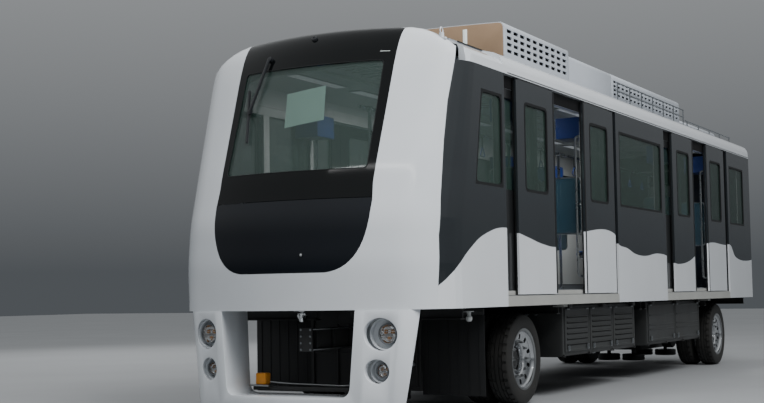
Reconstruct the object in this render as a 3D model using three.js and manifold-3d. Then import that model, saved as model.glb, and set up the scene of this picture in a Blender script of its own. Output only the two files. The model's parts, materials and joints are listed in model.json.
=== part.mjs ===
// A rubber-tyred automated people mover car: one cab-ended body on two steering bogies.
// Millimetres. +X is the way the cab end faces, +Y its left side, +Z up. The origin is on the
// running surface, midway between the two bogie pivots. The doors stand part open.
import * as THREE from "three";
import { mergeVertices } from "three/addons/utils/BufferGeometryUtils.js";
import Module from "manifold-3d";

const wasm = await Module();
wasm.setup();

// Driving dimensions. X is counted from midway between the bogies, and the last step shifts
// everything so that the origin is at the middle of the whole length.
const ORIGIN_X = 290;
const FIT = 0.3; // gap between pieces that touch
const HALF_WIDTH = 1425;
const REAR_X = -5420;
const WALL_OUTER = 1370; // outer face of the structural wall that the doors slide over
const WALL_INNER = 1330;
const BODY_BOTTOM = 1000;
const FLOOR_TOP = 1150;
const CANTRAIL_LOW = 3250;
const SHELL = 55; // thickness of the nose shell and outer side panels

const WHEELBASE = 7600;
const WHEEL_SIDES = 24; // the wheels stand on a flat side, so the axle is at that side's distance
const TYRE_R = 464;
const AXLE_Z = TYRE_R * Math.cos(Math.PI / WHEEL_SIDES);
const RIM_R = 302;
const TYRE_WIDTH = 240;
const TYRE_MIDS = [1135, 835]; // outer and inner tyre of a pair, from the centreline
const STUB_R = 70; // stub axle that each wheel pair turns on

const DOORWAYS = [
  // place, middle of the doorway
  ["front", 2935],
  ["rear", -2325],
];
const POCKET_HALF = 1655; // the side recess that both leaves slide in
const PORTAL_HALF = 700;
const LEAF_WIDTH = 1020;
const LEAF_INNER = 1380;
const LEAF_OUTER = 1422;
const LEAF_LOW = 1112;
const LEAF_HIGH = 3230;
// How far each leaf's leading edge stands from the middle of its doorway
const OPENINGS = {
  left: { front: [335, 545], rear: [245, 455] },
  right: { front: [3, 3], rear: [3, 3] },
};

const WINDOW_LOW = 2130;
const WINDOW_HIGH = 3030;

// Solids from three.js geometry
function toSolid(geometry) {
  const g = geometry.index ? geometry.toNonIndexed() : geometry.clone();
  g.deleteAttribute("normal");
  g.deleteAttribute("uv");
  const merged = mergeVertices(g, 1e-3);
  return new wasm.Manifold(
    new wasm.Mesh({
      numProp: 3,
      vertProperties: merged.attributes.position.array,
      triVerts: new Uint32Array(merged.index.array),
    }),
  );
}

function box(x0, x1, y0, y1, z0, z1) {
  const g = new THREE.BoxGeometry(x1 - x0, y1 - y0, z1 - z0);
  g.translate((x0 + x1) / 2, (y0 + y1) / 2, (z0 + z1) / 2);
  return toSolid(g);
}

function shapeOf(outline) {
  return outline instanceof THREE.Shape
    ? outline
    : new THREE.Shape(outline.map(([a, b]) => new THREE.Vector2(a, b)));
}

// An outline drawn in two of the axes and pushed out along the third.
const AXES = {
  x: [0, 0, 1, 0, 1, 0, 0, 0, 0, 1, 0, 0, 0, 0, 0, 1], // outline is (y, z)
  y: [1, 0, 0, 0, 0, 0, -1, 0, 0, 1, 0, 0, 0, 0, 0, 1], // outline is (x, z)
  z: [1, 0, 0, 0, 0, 1, 0, 0, 0, 0, 1, 0, 0, 0, 0, 1], // outline is (x, y)
};
function prism(axis, outline, low, high, curveSegments = 6) {
  const g = new THREE.ExtrudeGeometry(shapeOf(outline), {
    depth: high - low,
    bevelEnabled: false,
    curveSegments,
  });
  g.applyMatrix4(new THREE.Matrix4().set(...AXES[axis]));
  const start = axis === "y" ? high : low;
  g.translate(axis === "x" ? start : 0, axis === "y" ? start : 0, axis === "z" ? start : 0);
  return toSolid(g);
}

// A rectangle with round corners, as an outline.
function roundRect(a0, a1, b0, b1, r) {
  const s = new THREE.Shape();
  s.moveTo(a0 + r, b0);
  s.lineTo(a1 - r, b0);
  s.absarc(a1 - r, b0 + r, r, -Math.PI / 2, 0, false);
  s.lineTo(a1, b1 - r);
  s.absarc(a1 - r, b1 - r, r, 0, Math.PI / 2, false);
  s.lineTo(a0 + r, b1);
  s.absarc(a0 + r, b1 - r, r, Math.PI / 2, Math.PI, false);
  s.lineTo(a0, b0 + r);
  s.absarc(a0 + r, b0 + r, r, Math.PI, 1.5 * Math.PI, false);
  return s;
}

// A turned piece. The profile is (radius, distance along the axis).
function turned(axis, profile, centre, segments = 16) {
  const outline = profile.map(([r, h]) => new THREE.Vector2(r, h));
  const g = new THREE.LatheGeometry(outline, segments, Math.PI / segments);
  if (axis === "x") g.rotateZ(-Math.PI / 2);
  if (axis === "z") g.rotateX(Math.PI / 2);
  g.translate(...centre);
  const made = toSolid(g);
  if (made.volume() > 0) return made;
  g.index.array.reverse();
  return toSolid(g);
}

function rod(axis, radius, low, high, centre, segments = 12) {
  return turned(axis, [[0, low], [radius, low], [radius, high], [0, high]], centre, segments);
}

const join = (solids) => solids.reduce((a, b) => a.add(b));
const mirrorY = (solid) => solid.mirror([0, 1, 0]);
const sided = (solid, side) => (side === "left" ? solid : mirrorY(solid));

// The group and its materials
const car = new THREE.Group();
const MATERIALS = {
  white: { color: 0xe9ebec, roughness: 0.25, metalness: 0 },
  dark: { color: 0x24262b, roughness: 0.15, metalness: 0 },
  frame: { color: 0x2a2c2f, roughness: 0.6, metalness: 0.3 },
  glass: { color: 0x3c4f4a, roughness: 0.05, metalness: 0 },
  alloy: { color: 0xc4c7ca, roughness: 0.3, metalness: 1 },
  rubber: { color: 0x17181a, roughness: 0.85, metalness: 0 },
  lamp: { color: 0xd8d6cc, roughness: 0.1, metalness: 0.4 },
  seat: { color: 0x2d4b86, roughness: 0.6, metalness: 0 },
  steel: { color: 0xb9bcbf, roughness: 0.3, metalness: 1 },
  roof: { color: 0xbfc1c0, roughness: 0.5, metalness: 0.2 },
};
const finishes = Object.fromEntries(
  Object.entries(MATERIALS).map(([k, v]) => [k, new THREE.MeshStandardMaterial(v)]),
);

function add(name, finish, solid) {
  const m = solid.getMesh();
  const position = new Float32Array(m.numVert * 3);
  for (let i = 0; i < m.numVert; i++) {
    position.set(m.vertProperties.subarray(i * m.numProp, i * m.numProp + 3), i * 3);
  }
  const g = new THREE.BufferGeometry();
  g.setAttribute("position", new THREE.BufferAttribute(position, 3));
  g.setIndex(new THREE.BufferAttribute(new Uint32Array(m.triVerts), 1));
  g.translate(-ORIGIN_X, 0, 0);
  g.computeVertexNormals();
  const mesh = new THREE.Mesh(g, finishes[finish]);
  mesh.name = name;
  car.add(mesh);
}

// A form lofted through plan outlines at several heights. Each level has its height, where the
// middle of its front comes to, its half width and its corner radius. The inset draws it smaller.
const BOW_ANGLE = 0.372; // how far the corner turns before the face bows across
const CORNER_STEPS = 6;
const BOW_STEPS = 10;
function planAt({ front, half, corner, bow = BOW_ANGLE }, inset, backX) {
  const [c, s, t] = [Math.cos(bow), Math.sin(bow), Math.tan(bow)];
  const cy = half - corner;
  const cx = front - corner * c - ((cy + corner * s) * t) / 2;
  const r = corner - inset;
  const rightHalf = [[backX, half - inset]];
  for (let i = 0; i <= CORNER_STEPS; i++) {
    const a = Math.PI / 2 + ((bow - Math.PI / 2) * i) / CORNER_STEPS;
    rightHalf.push([cx + r * Math.cos(a), cy + r * Math.sin(a)]);
  }
  const [ex, ey] = rightHalf.at(-1);
  for (let i = 1; i < BOW_STEPS / 2; i++) {
    const y = ey * (1 - (2 * i) / BOW_STEPS);
    rightHalf.push([ex + (t / (2 * ey)) * (ey * ey - y * y), y]);
  }
  const middle = [ex + (t * ey) / 2, 0];
  const mirrored = rightHalf.map(([x, y]) => [x, -y]).reverse();
  return [...rightHalf, middle, ...mirrored].reverse();
}
function loft(levels, inset, backX) {
  const rings = levels.map((level) => planAt(level, inset, backX));
  const n = rings[0].length;
  const position = rings.flatMap((ring, k) => ring.flatMap(([x, y]) => [x, y, levels[k].z]));
  const index = [];
  for (let k = 0; k + 1 < rings.length; k++) {
    for (let i = 0; i < n; i++) {
      const [a, b] = [k * n + i, k * n + ((i + 1) % n)];
      index.push(a, b, b + n, a, b + n, a + n);
    }
  }
  for (const [k, flip] of [[0, true], [rings.length - 1, false]]) {
    const contour = rings[k].map(([x, y]) => new THREE.Vector2(x, y));
    for (const [a, b, c] of THREE.ShapeUtils.triangulateShape(contour, [])) {
      index.push(...(flip ? [a, c, b] : [a, b, c]).map((v) => k * n + v));
    }
  }
  const g = new THREE.BufferGeometry();
  g.setAttribute("position", new THREE.Float32BufferAttribute(position, 3));
  g.setIndex(index);
  return toSolid(g);
}

// The nose: front face by height, then the crown of the roof as a cross-section cut from it
const NOSE_LEVELS = [
  // height, front, corner radius
  [0, 6360, 600],
  [1000, 6370, 600],
  [1400, 6390, 600],
  [1800, 6350, 600],
  [2260, 6215, 574],
  [2760, 6035, 478],
  [3260, 5860, 393],
  [3480, 5765, 371],
  [3600, 5665, 360],
  [3680, 5560, 350],
].map(([z, front, corner]) => ({ z, front, half: HALF_WIDTH, corner }));
function crown(inset) {
  const w = HALF_WIDTH - inset + 10;
  const s = new THREE.Shape();
  s.moveTo(-w, -10);
  s.lineTo(w, -10);
  s.lineTo(w, 3260);
  s.quadraticCurveTo(w, 3400 - inset, 1250, 3440 - inset);
  s.quadraticCurveTo(1060, 3590 - inset, 850, 3605 - inset);
  s.quadraticCurveTo(0, 3655 - inset, -850, 3605 - inset);
  s.quadraticCurveTo(-1060, 3590 - inset, -1250, 3440 - inset);
  s.quadraticCurveTo(-w, 3400 - inset, -w, 3260);
  return s;
}
function noseForm(inset, low) {
  return loft(NOSE_LEVELS, inset, 4300)
    .intersect(prism("x", crown(inset), 4200, 6400, 4))
    .subtract(box(4000, 6500, -1500, 1500, -20, low));
}
const noseShell = noseForm(0, BODY_BOTTOM).subtract(noseForm(SHELL, 0));

// The fairing ends at a raked edge, nearly parallel to the windscreen.
const RAKE = [
  // x, z
  [5940, 0],
  [5925, 1240],
  [5905, 1640],
  [5850, 1970],
  [5735, 2490],
  [5638, 2860],
  [5500, 3270],
  [5330, 3800],
];
function aheadOfRake(gap) {
  const edge = RAKE.map(([x, z]) => [x + gap, z]);
  return prism("y", [...edge, [7000, 3800], [7000, 0]].reverse(), -1600, 1600);
}

// The black mask round the windscreen, seen from the front
const MASK_LOW = 1330;
const MASK_EDGE = [[835, 1960], [822, 2120], [860, 3700]]; // y, z above the round corner
function maskOutline(gap) {
  const s = new THREE.Shape();
  s.moveTo(-440, MASK_LOW + gap);
  s.lineTo(440, MASK_LOW + gap);
  s.quadraticCurveTo(770 - gap, 1360 + gap, 825 - gap, 1800);
  for (const [y, z] of MASK_EDGE) s.lineTo(y - gap, z);
  for (const [y, z] of [...MASK_EDGE].reverse()) s.lineTo(gap - y, z);
  s.lineTo(gap - 825, 1800);
  s.quadraticCurveTo(gap - 770, 1360 + gap, -440, MASK_LOW + gap);
  return s;
}
const maskCut = (gap) => prism("x", maskOutline(gap), 5540, 6400, 6);
const GLASS = { half: 755, low: 2250, high: 3270, r: 50 };
const glassCut = (gap) =>
  prism(
    "x",
    roundRect(-GLASS.half + gap, GLASS.half - gap, GLASS.low + gap, GLASS.high - gap, GLASS.r),
    5400,
    6400,
    3,
  );
const nose = noseShell.intersect(aheadOfRake(FIT));
add("nose_fairing", "white", nose.subtract(maskCut(0)));
add("front_mask", "dark", nose.intersect(maskCut(FIT)).subtract(glassCut(0)));
const glassShell = noseForm(10, BODY_BOTTOM).subtract(noseForm(24, 0));
add("windscreen", "glass", glassShell.intersect(glassCut(FIT)));

// Sides: a sill below, a header in the cantrail above, and three wall modules between the
// doorways. Each module has its outer panel on it, and stands 0.3 mm clear of sill and header.
const [FRONT_DOOR, REAR_DOOR] = DOORWAYS.map(([, x]) => x);
const PORTAL_HIGH = 3120;
const frontWindow = [[4650, WINDOW_LOW], [5290, WINDOW_LOW], [5130, WINDOW_HIGH], [4650, WINDOW_HIGH]];
const windowCut = (x0, x1) => box(x0, x1, WALL_INNER - 50, HALF_WIDTH + 50, WINDOW_LOW, WINDOW_HIGH);
const WINDOWS = {
  front: prism("y", frontWindow, 1200, 1500),
  centre: windowCut(REAR_DOOR + POCKET_HALF + 140, FRONT_DOOR - POCKET_HALF - 110),
  rear: windowCut(-5000, REAR_DOOR - POCKET_HALF - 120),
};
// Fixed panes in the door recesses, seen through each leaf's own window
const RECESS_PANES = DOORWAYS.flatMap(([, x]) =>
  [-1, 1].map((s) => {
    const [a, b] = [x + s * (PORTAL_HALF + 80), x + s * (POCKET_HALF - 60)].sort((p, q) => p - q);
    return box(a, b, WALL_INNER - 50, WALL_OUTER + 5, WINDOW_LOW, WINDOW_HIGH);
  }),
);

const panelBlock = (x0, x1) =>
  box(x0, x1, WALL_OUTER + FIT, HALF_WIDTH, BODY_BOTTOM, CANTRAIL_LOW - FIT);
const frontPanel = noseForm(0, BODY_BOTTOM)
  .subtract(noseForm(SHELL - FIT, 0))
  .subtract(aheadOfRake(0))
  .intersect(box(FRONT_DOOR + POCKET_HALF, 7000, 900, 1500, BODY_BOTTOM, CANTRAIL_LOW - FIT));
const WALL_FRONT_X = 5700;
const MODULES = {
  // outer panel, then where the wall behind it starts and ends
  front: [frontPanel, FRONT_DOOR + PORTAL_HALF, WALL_FRONT_X],
  centre: [
    panelBlock(REAR_DOOR + POCKET_HALF, FRONT_DOOR - POCKET_HALF),
    REAR_DOOR + PORTAL_HALF,
    FRONT_DOOR - PORTAL_HALF,
  ],
  rear: [panelBlock(REAR_X, REAR_DOOR - POCKET_HALF), REAR_X + 40, REAR_DOOR - PORTAL_HALF],
};
function sideModule(place) {
  const [panel, x0, x1] = MODULES[place];
  const wall = box(x0, x1, WALL_INNER, WALL_OUTER + 1, FLOOR_TOP + FIT, PORTAL_HIGH - FIT);
  const made = wall.intersect(noseForm(SHELL - 1, 0).add(box(REAR_X, 4600, 1300, 1371, 0, 3300)));
  return [WINDOWS[place], ...RECESS_PANES].reduce((a, cut) => a.subtract(cut), made.add(panel));
}

// A beam along the whole wall, between two heights. The nose narrows it in front.
function wallBeam(z0, z1, frontX) {
  const front = box(4500, frontX, WALL_INNER, WALL_OUTER, z0, z1).intersect(noseForm(SHELL, 0));
  return box(REAR_X + 40, 4600, WALL_INNER, WALL_OUTER, z0, z1).add(front);
}
const JACKING_PADS = { x: 2930, half: 60, inner: 1250, low: 970 };
function sill() {
  const reach = POCKET_HALF - 5;
  const ledges = DOORWAYS.map(([, x]) =>
    box(x - reach, x + reach, WALL_OUTER - 10, HALF_WIDTH - 3, BODY_BOTTOM, LEAF_LOW - 12),
  );
  const pads = [-JACKING_PADS.x, JACKING_PADS.x].flatMap((x) => {
    const { half, inner, low } = JACKING_PADS;
    return [
      box(x - half, x + half, inner, WALL_OUTER, low, BODY_BOTTOM - FIT),
      box(x - half, x + half, WALL_INNER, WALL_OUTER, low, BODY_BOTTOM + 10),
    ];
  });
  return join([wallBeam(BODY_BOTTOM, FLOOR_TOP, WALL_FRONT_X), ...ledges, ...pads]);
}

// The curved white rail where the side meets the roof
const cantrailOutline = new THREE.Shape();
cantrailOutline.moveTo(WALL_INNER, CANTRAIL_LOW);
cantrailOutline.lineTo(HALF_WIDTH, CANTRAIL_LOW);
cantrailOutline.lineTo(HALF_WIDTH - 5, 3330);
cantrailOutline.quadraticCurveTo(HALF_WIDTH - 15, 3420, 1330, 3455);
cantrailOutline.lineTo(1200, 3490);
cantrailOutline.lineTo(1200, 3440);
cantrailOutline.lineTo(1315, 3410);
cantrailOutline.lineTo(WALL_INNER, 3370);
const CANTRAIL_FRONT_X = 5400;
const cantrail = prism("x", cantrailOutline, REAR_X, CANTRAIL_FRONT_X, 5)
  .intersect(noseForm(0, 0).add(box(REAR_X - 10, 4600, 0, 1500, 0, 3600)))
  .add(wallBeam(PORTAL_HIGH, CANTRAIL_LOW + 1, CANTRAIL_FRONT_X));

// One sliding leaf, drawn closed ahead of the doorway's centre
function leaf() {
  const slab = box(0, LEAF_WIDTH, LEAF_INNER, LEAF_OUTER, LEAF_LOW, LEAF_HIGH);
  const hanger = box(80, LEAF_WIDTH - 80, 1392, 1408, LEAF_HIGH - 5, CANTRAIL_LOW - FIT);
  const pane = prism("y", roundRect(200, LEAF_WIDTH - 200, WINDOW_LOW, WINDOW_HIGH, 70), 1300, 1500, 2);
  return slab.add(hanger).subtract(pane);
}

for (const side of ["left", "right"]) {
  add(`side_sill_${side}`, "frame", sided(sill(), side));
  for (const place of Object.keys(MODULES)) {
    add(`side_panel_${place}_${side}`, "dark", sided(sideModule(place), side));
  }
  add(`cantrail_${side}`, "white", sided(cantrail, side));
  for (const [place, x] of DOORWAYS) {
    const [fore, aft] = OPENINGS[side][place];
    const lead = leaf().translate([x + fore, 0, 0]);
    const trail = leaf().mirror([1, 0, 0]).translate([x - aft, 0, 0]);
    add(`door_leaf_${place}_${side}_fore`, "dark", sided(lead, side));
    add(`door_leaf_${place}_${side}_aft`, "dark", sided(trail, side));
  }
}

// Roof skin between the cantrails, and the units on it
const roofOutline = new THREE.Shape();
roofOutline.moveTo(-1200 + FIT, 3490);
roofOutline.quadraticCurveTo(0, 3610, 1200 - FIT, 3490);
roofOutline.lineTo(1200 - FIT, 3440);
roofOutline.quadraticCurveTo(0, 3560, -1200 + FIT, 3440);
const ROOF_FRONT_X = 5330;
add("roof_skin", "roof", prism("x", roofOutline, REAR_X, ROOF_FRONT_X, 8));
const UNIT_CORNER = 60;
const UNIT_CREST = 36;
function unitOutline(half, top) {
  const s = new THREE.Shape();
  s.moveTo(-half, 3500);
  s.quadraticCurveTo(0, 3586, half, 3500);
  s.lineTo(half, top - UNIT_CORNER);
  s.quadraticCurveTo(half, top, half - UNIT_CORNER, top);
  s.quadraticCurveTo(0, top + UNIT_CREST, UNIT_CORNER - half, top);
  s.quadraticCurveTo(-half, top, -half, top - UNIT_CORNER);
  return s;
}
const ROOF_CREST = prism("x", roofOutline, REAR_X, ROOF_FRONT_X, 8);
const ROOF_UNITS = [
  // name, then rear x, front x, half width and top of each of its casings
  ["air_conditioner_front", [1920, 3800, 1100, 3930], [410, 1925, 1098, 3870]],
  ["air_conditioner_rear", [-2620, 390, 1098, 3870]],
  ["roof_cover_rear", [-5000, -2760, 1000, 3660]],
];
for (const [name, ...casings] of ROOF_UNITS) {
  const lifted = ROOF_CREST.translate([0, 0, FIT]);
  const under = box(-5100, 3900, -1195, 1195, 3300, 3470).add(lifted);
  const made = casings.map(([x0, x1, half, top]) => prism("x", unitOutline(half, top), x0, x1, 4));
  add(name, "roof", join(made).subtract(under));
}

// Floor, with its tongue into the nose, and the rear end
const floorPlan = [
  [REAR_X + 40, WALL_INNER - FIT],
  [5450, WALL_INNER - FIT],
  [5720, 1180],
  [5930, 820],
  [6080, 300],
];
floorPlan.push(...floorPlan.map(([x, y]) => [x, -y]).reverse());
floorPlan.reverse();
const COUPLERS = [
  // place, pivot, face, direction
  ["front", 5000, 5960, 1],
  ["rear", -5100, -5810, -1],
];
const DRAWBAR = { z: 730, half: 100, flange: 16, width: 62, web: 22 };
const BRACKET_LOW = DRAWBAR.z + DRAWBAR.half + 20;
let underframe = prism("z", floorPlan, BODY_BOTTOM, FLOOR_TOP);
for (const [, x] of COUPLERS) {
  underframe = underframe.add(box(x - 100, x + 100, -170, 170, BRACKET_LOW, BODY_BOTTOM + 10));
}
add("underframe", "frame", underframe);

// A plate across the car between the front coupler's bracket and the front bogie
add("splash_plate", "frame", box(4835, 4865, -620, 620, 200, BODY_BOTTOM - FIT));

// The covered console under the windscreen
const consoleLow = FLOOR_TOP + FIT;
const consoleSide = [[5560, consoleLow], [5860, consoleLow], [5900, 1900], [5880, 2120], [5560, 2020]];
add("cab_console", "frame", prism("y", consoleSide, -700, 700));

const END_DOOR = { half: 400, low: FLOOR_TOP + 10, high: 3120 };
const endRight = [
  [WALL_INNER - FIT, BODY_BOTTOM],
  [WALL_INNER - FIT, 3368],
  [1310, 3404],
  [1190, 3436],
];
const endOutline = [...endRight, ...endRight.map(([y, z]) => [-y, z]).reverse()];
const endHole = [END_DOOR.half + 8, END_DOOR.low - 8, END_DOOR.high + 8];
const endWall = prism("x", endOutline, REAR_X, REAR_X + 40 - FIT).subtract(
  box(REAR_X - 10, REAR_X + 50, -endHole[0], endHole[0], endHole[1], endHole[2]),
);
add("rear_end_wall", "dark", endWall);
const endDoorPane = prism("x", roundRect(-260, 260, 2000, 2900, 60), REAR_X - 10, REAR_X + 50, 3);
const HINGE_X = REAR_X - 12.5;
const hingeSpan = [END_DOOR.low + 20, END_DOOR.high - 20];
const hingeY = END_DOOR.half + 12;
const endDoor = join([
  box(REAR_X, REAR_X + 35, -END_DOOR.half, END_DOOR.half, END_DOOR.low, END_DOOR.high),
  rod("z", 12, ...hingeSpan, [HINGE_X, hingeY, 0], 8),
  box(HINGE_X, REAR_X, END_DOOR.half - 90, hingeY, ...hingeSpan),
]);
add("end_door", "dark", endDoor.subtract(endDoorPane));

// Lower nose: a skirt with deep walls round the coupler opening, and two sunk lamps each side
const SKIRT = { top: BODY_BOTTOM - FIT, low: 140, front: 6375, corner: 250, shell: 55, reveal: 40 };
const skirtLevels = (low, high) => [
  { z: low, front: SKIRT.front, half: 1130, corner: SKIRT.corner },
  { z: high, front: SKIRT.front, half: 1220, corner: SKIRT.corner },
];
const SKIRT_BACK = [[5000, -50], [6113, -50], [6017, 1010], [5000, 1010]];
const REVEAL_BACK = [[5000, -50], [5930, -50], [5860, 1010], [5000, 1010]];
function openingOutline(grow) {
  const s = new THREE.Shape();
  s.moveTo(710 + grow, 1020);
  s.lineTo(-710 - grow, 1020);
  s.lineTo(-650 - grow, 330);
  s.quadraticCurveTo(-640 - grow, 240 - grow, -550, 240 - grow);
  s.lineTo(550, 240 - grow);
  s.quadraticCurveTo(640 + grow, 240 - grow, 650 + grow, 330);
  return s;
}
const LAMPS = [
  // height, recess's middle, lens's middle (from the centreline), recess radius, lens radius
  [790, 919, 948, 142, 93],
  [470, 882, 896, 105, 68],
];
const skirtOuter = loft(skirtLevels(SKIRT.low, SKIRT.top), 0, 5500);
const behind = (edge) => prism("y", edge, -1400, 1400);
const skirtWalls = skirtOuter
  .intersect(prism("x", openingOutline(SKIRT.reveal), 5500, 6500))
  .subtract(behind(REVEAL_BACK));
let skirt = skirtOuter
  .subtract(loft(skirtLevels(100, 1010), SKIRT.shell, 5400))
  .subtract(behind(SKIRT_BACK))
  .add(skirtWalls)
  .subtract(prism("x", openingOutline(0), 5400, 6500));
for (const [z, y, , recess] of LAMPS) {
  for (const s of [-1, 1]) skirt = skirt.subtract(rod("x", recess, 6030, 6500, [0, s * y, z], 16));
}
add("front_skirt", "white", skirt);
function lampPair(side) {
  const plate = box(6048, 6060, 850, 950, 400, 900);
  const pots = LAMPS.map(([z, y, lensY, recess, lens]) => {
    const r = recess - 0.4;
    const pot = [[0, 6050], [r, 6050], [r, 6150], [r - 8, 6150], [r - 12, 6075], [0, 6065]];
    return join([turned("x", pot, [0, y, z], 16), rod("x", lens, 6060, 6146, [0, lensY, z], 12)]);
  });
  return sided(join([plate, ...pots]), side);
}
for (const side of ["left", "right"]) add(`lamps_${side}`, "lamp", lampPair(side));

// Couplers: a flanged drawbar that swings on a pivot under its bracket, with a flat end plate
for (const [place, pivot, face, way] of COUPLERS) {
  const span = (a, b) => [Math.min(a, b), Math.max(a, b)];
  const { z, half, flange, width, web } = DRAWBAR;
  const length = span(pivot, face - way * 10);
  add(
    `coupler_${place}`,
    "frame",
    join([
      rod("z", 105, z - half - 12, BRACKET_LOW - FIT, [pivot, 0, 0], 12),
      box(...length, -web, web, z - half + 5, z + half - 5),
      box(...length, -width, width, z + half - flange, z + half),
      box(...length, -width, width, z - half, z - half + flange),
      box(...span(face - way * 20, face), -width - 8, width + 8, z - half - 8, z + half + 8),
    ]),
  );
}

// Boxes hung under the floor between the bogies
const UNDERFLOOR = [
  // name, x0, x1, y0, y1, bottom
  ["inverter_box", 250, 2750, 520, 1260, 430],
  ["battery_box", -2750, -250, 520, 1260, 430],
  ["air_supply_box", -2750, -250, -1260, -520, 470],
  ["resistor_box", 250, 2750, -1260, -520, 470],
];
for (const [name, x0, x1, y0, y1, z0] of UNDERFLOOR) {
  add(name, "frame", prism("x", roundRect(y0, y1, z0, BODY_BOTTOM - FIT, 40), x0, x1, 2));
}

// Bogies: a slewing ring, a frame, an axle with stubs, and a guide frame below
const GUIDE_R = 170;
const GUIDE_X = 820; // guide wheels, ahead of and behind the axle
const GUIDE_Y = 190;
const GUIDE_LOW = 95;
const GUIDE_HIGH = 190;
const GUIDE_PIN_R = 28;
const GUIDE_SIDES = 16;
function bogie(x) {
  const pieces = [
    rod("z", 430, 920, BODY_BOTTOM - FIT, [x, 0, 0], 16),
    box(x - 480, x + 480, -520, 520, 820, 930),
    rod("y", 95, -560, 560, [x, 0, AXLE_Z], 8),
    rod("y", STUB_R, -900, 900, [x, 0, AXLE_Z], 12),
    box(x - 190, x + 190, -170, 170, 290, 680),
  ];
  for (const s of [-1, 1]) {
    pieces.push(box(x - 90, x + 90, s * 430 - 60, s * 430 + 60, 370, 830));
    for (const t of [-1, 1]) {
      pieces.push(rod("z", 110, 540, 830, [x + t * 300, s * 430, 0], 8));
      pieces.push(rod("z", GUIDE_PIN_R, GUIDE_LOW + 5, 260, [x + s * GUIDE_X, t * GUIDE_Y, 0], 8));
    }
    pieces.push(box(x - 430, x + 430, s * 430 - 55, s * 430 + 55, 480, 560));
    pieces.push(box(x - GUIDE_X - 60, x + GUIDE_X + 60, s * 300 - 40, s * 300 + 40, 250, 330));
    pieces.push(box(x + s * GUIDE_X - 70, x + s * GUIDE_X + 70, -330, 330, 251, 329));
    pieces.push(box(x - 60, x + 60, s * 300 - 45, s * 300 + 45, 320, 480));
  }
  return join(pieces);
}
function guideWheel(x, y) {
  const bore = (GUIDE_PIN_R + 0.2) / Math.cos(Math.PI / GUIDE_SIDES);
  const r = GUIDE_R;
  const profile = [[bore, GUIDE_LOW], [r, GUIDE_LOW], [r, GUIDE_HIGH], [bore, GUIDE_HIGH], [bore, GUIDE_LOW]];
  return turned("z", profile, [x, y, 0], GUIDE_SIDES);
}

// A wheel pair: two tyres on a spacer ring, and the two rims on one hub
function tyres(x, side) {
  const [outer, inner] = TYRE_MIDS;
  const half = TYRE_WIDTH / 2;
  const seat = RIM_R + 0.4;
  const wall = [[345, half], [412, half - 3], [TYRE_R, half - 42]];
  const arch = (mid) => [
    ...wall.map(([r, h]) => [r, mid - h]),
    ...wall.map(([r, h]) => [r, mid + h]).reverse(),
  ];
  const profile = [
    [seat, inner - half + 12],
    ...arch(inner),
    [seat + 16, inner + half - 6],
    [seat + 16, outer - half + 6],
    ...arch(outer),
    [seat, outer + half - 12],
    [seat, inner - half + 12],
  ];
  return sided(turned("y", profile, [x, 0, AXLE_Z], WHEEL_SIDES), side);
}
function wheel(x, side) {
  const [outer, inner] = TYRE_MIDS;
  const bore = (STUB_R + 0.2) / Math.cos(Math.PI / WHEEL_SIDES);
  const profile = [
    [bore, inner - 100], [115, inner - 100], [140, 1070], [262, 1120], [280, inner - 108],
    [RIM_R, inner - 104], [RIM_R, outer + 106], [284, outer + 104], [262, 1203], [152, 1170],
    [146, 1095], [112, 1100], [106, 1130], [0, 1135], [0, 905], [bore, 905], [bore, inner - 100],
  ];
  return sided(turned("y", profile, [x, 0, AXLE_Z], WHEEL_SIDES), side);
}

for (const [place, x] of [["front", WHEELBASE / 2], ["rear", -WHEELBASE / 2]]) {
  add(`bogie_${place}`, "frame", bogie(x));
  for (const side of ["left", "right"]) {
    add(`tyres_${place}_${side}`, "rubber", tyres(x, side));
    add(`wheel_${place}_${side}`, "alloy", wheel(x, side));
    const y = side === "left" ? GUIDE_Y : -GUIDE_Y;
    add(`guide_wheel_${place}_${side}_fore`, "rubber", guideWheel(x + GUIDE_X, y));
    add(`guide_wheel_${place}_${side}_aft`, "rubber", guideWheel(x - GUIDE_X, y));
  }
}

// Inside: a bench each side between the doorways, and grab poles with a ceiling rail
for (const side of ["left", "right"]) {
  const bench = [
    [1329.7, 1200], [1050, 1200], [1050, 1530], [890, 1530], [880, 1600], [1240, 1600], [1270, 2040],
    [1329.7, 2040],
  ];
  const plinth = box(-560, 1160, 1060, 1320, FLOOR_TOP + FIT, 1210);
  add(`bench_${side}`, "seat", sided(prism("x", bench, -620, 1220).add(plinth), side));
}
const POLES = [
  // x, top
  [4700, 3020],
  [FRONT_DOOR, 3499],
  [1150, 3020],
  [-550, 3020],
  [REAR_DOOR, 3499],
  [-4600, 3020],
];
const poles = POLES.map(([x, top]) => rod("z", 18, FLOOR_TOP + FIT, top, [x, 0, 0], 8));
poles.push(rod("x", 18, -4900, 4900, [0, 0, 3000], 8));
add("grab_rails", "steel", join(poles));

export default car;
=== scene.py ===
# %% [markdown]
# # A rubber-tyred people mover car
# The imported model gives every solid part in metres: +X is the way the cab end faces, +Y is the
# car's left side and +Z is up. This script dresses those parts, adds the detail that is too fine
# for them, and sets the camera and the lights. Each step is first explained, then done.

# %% Load the frame
import json
import math

import bmesh
import bpy
import numpy as np
from mathutils import Matrix, Vector

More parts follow.
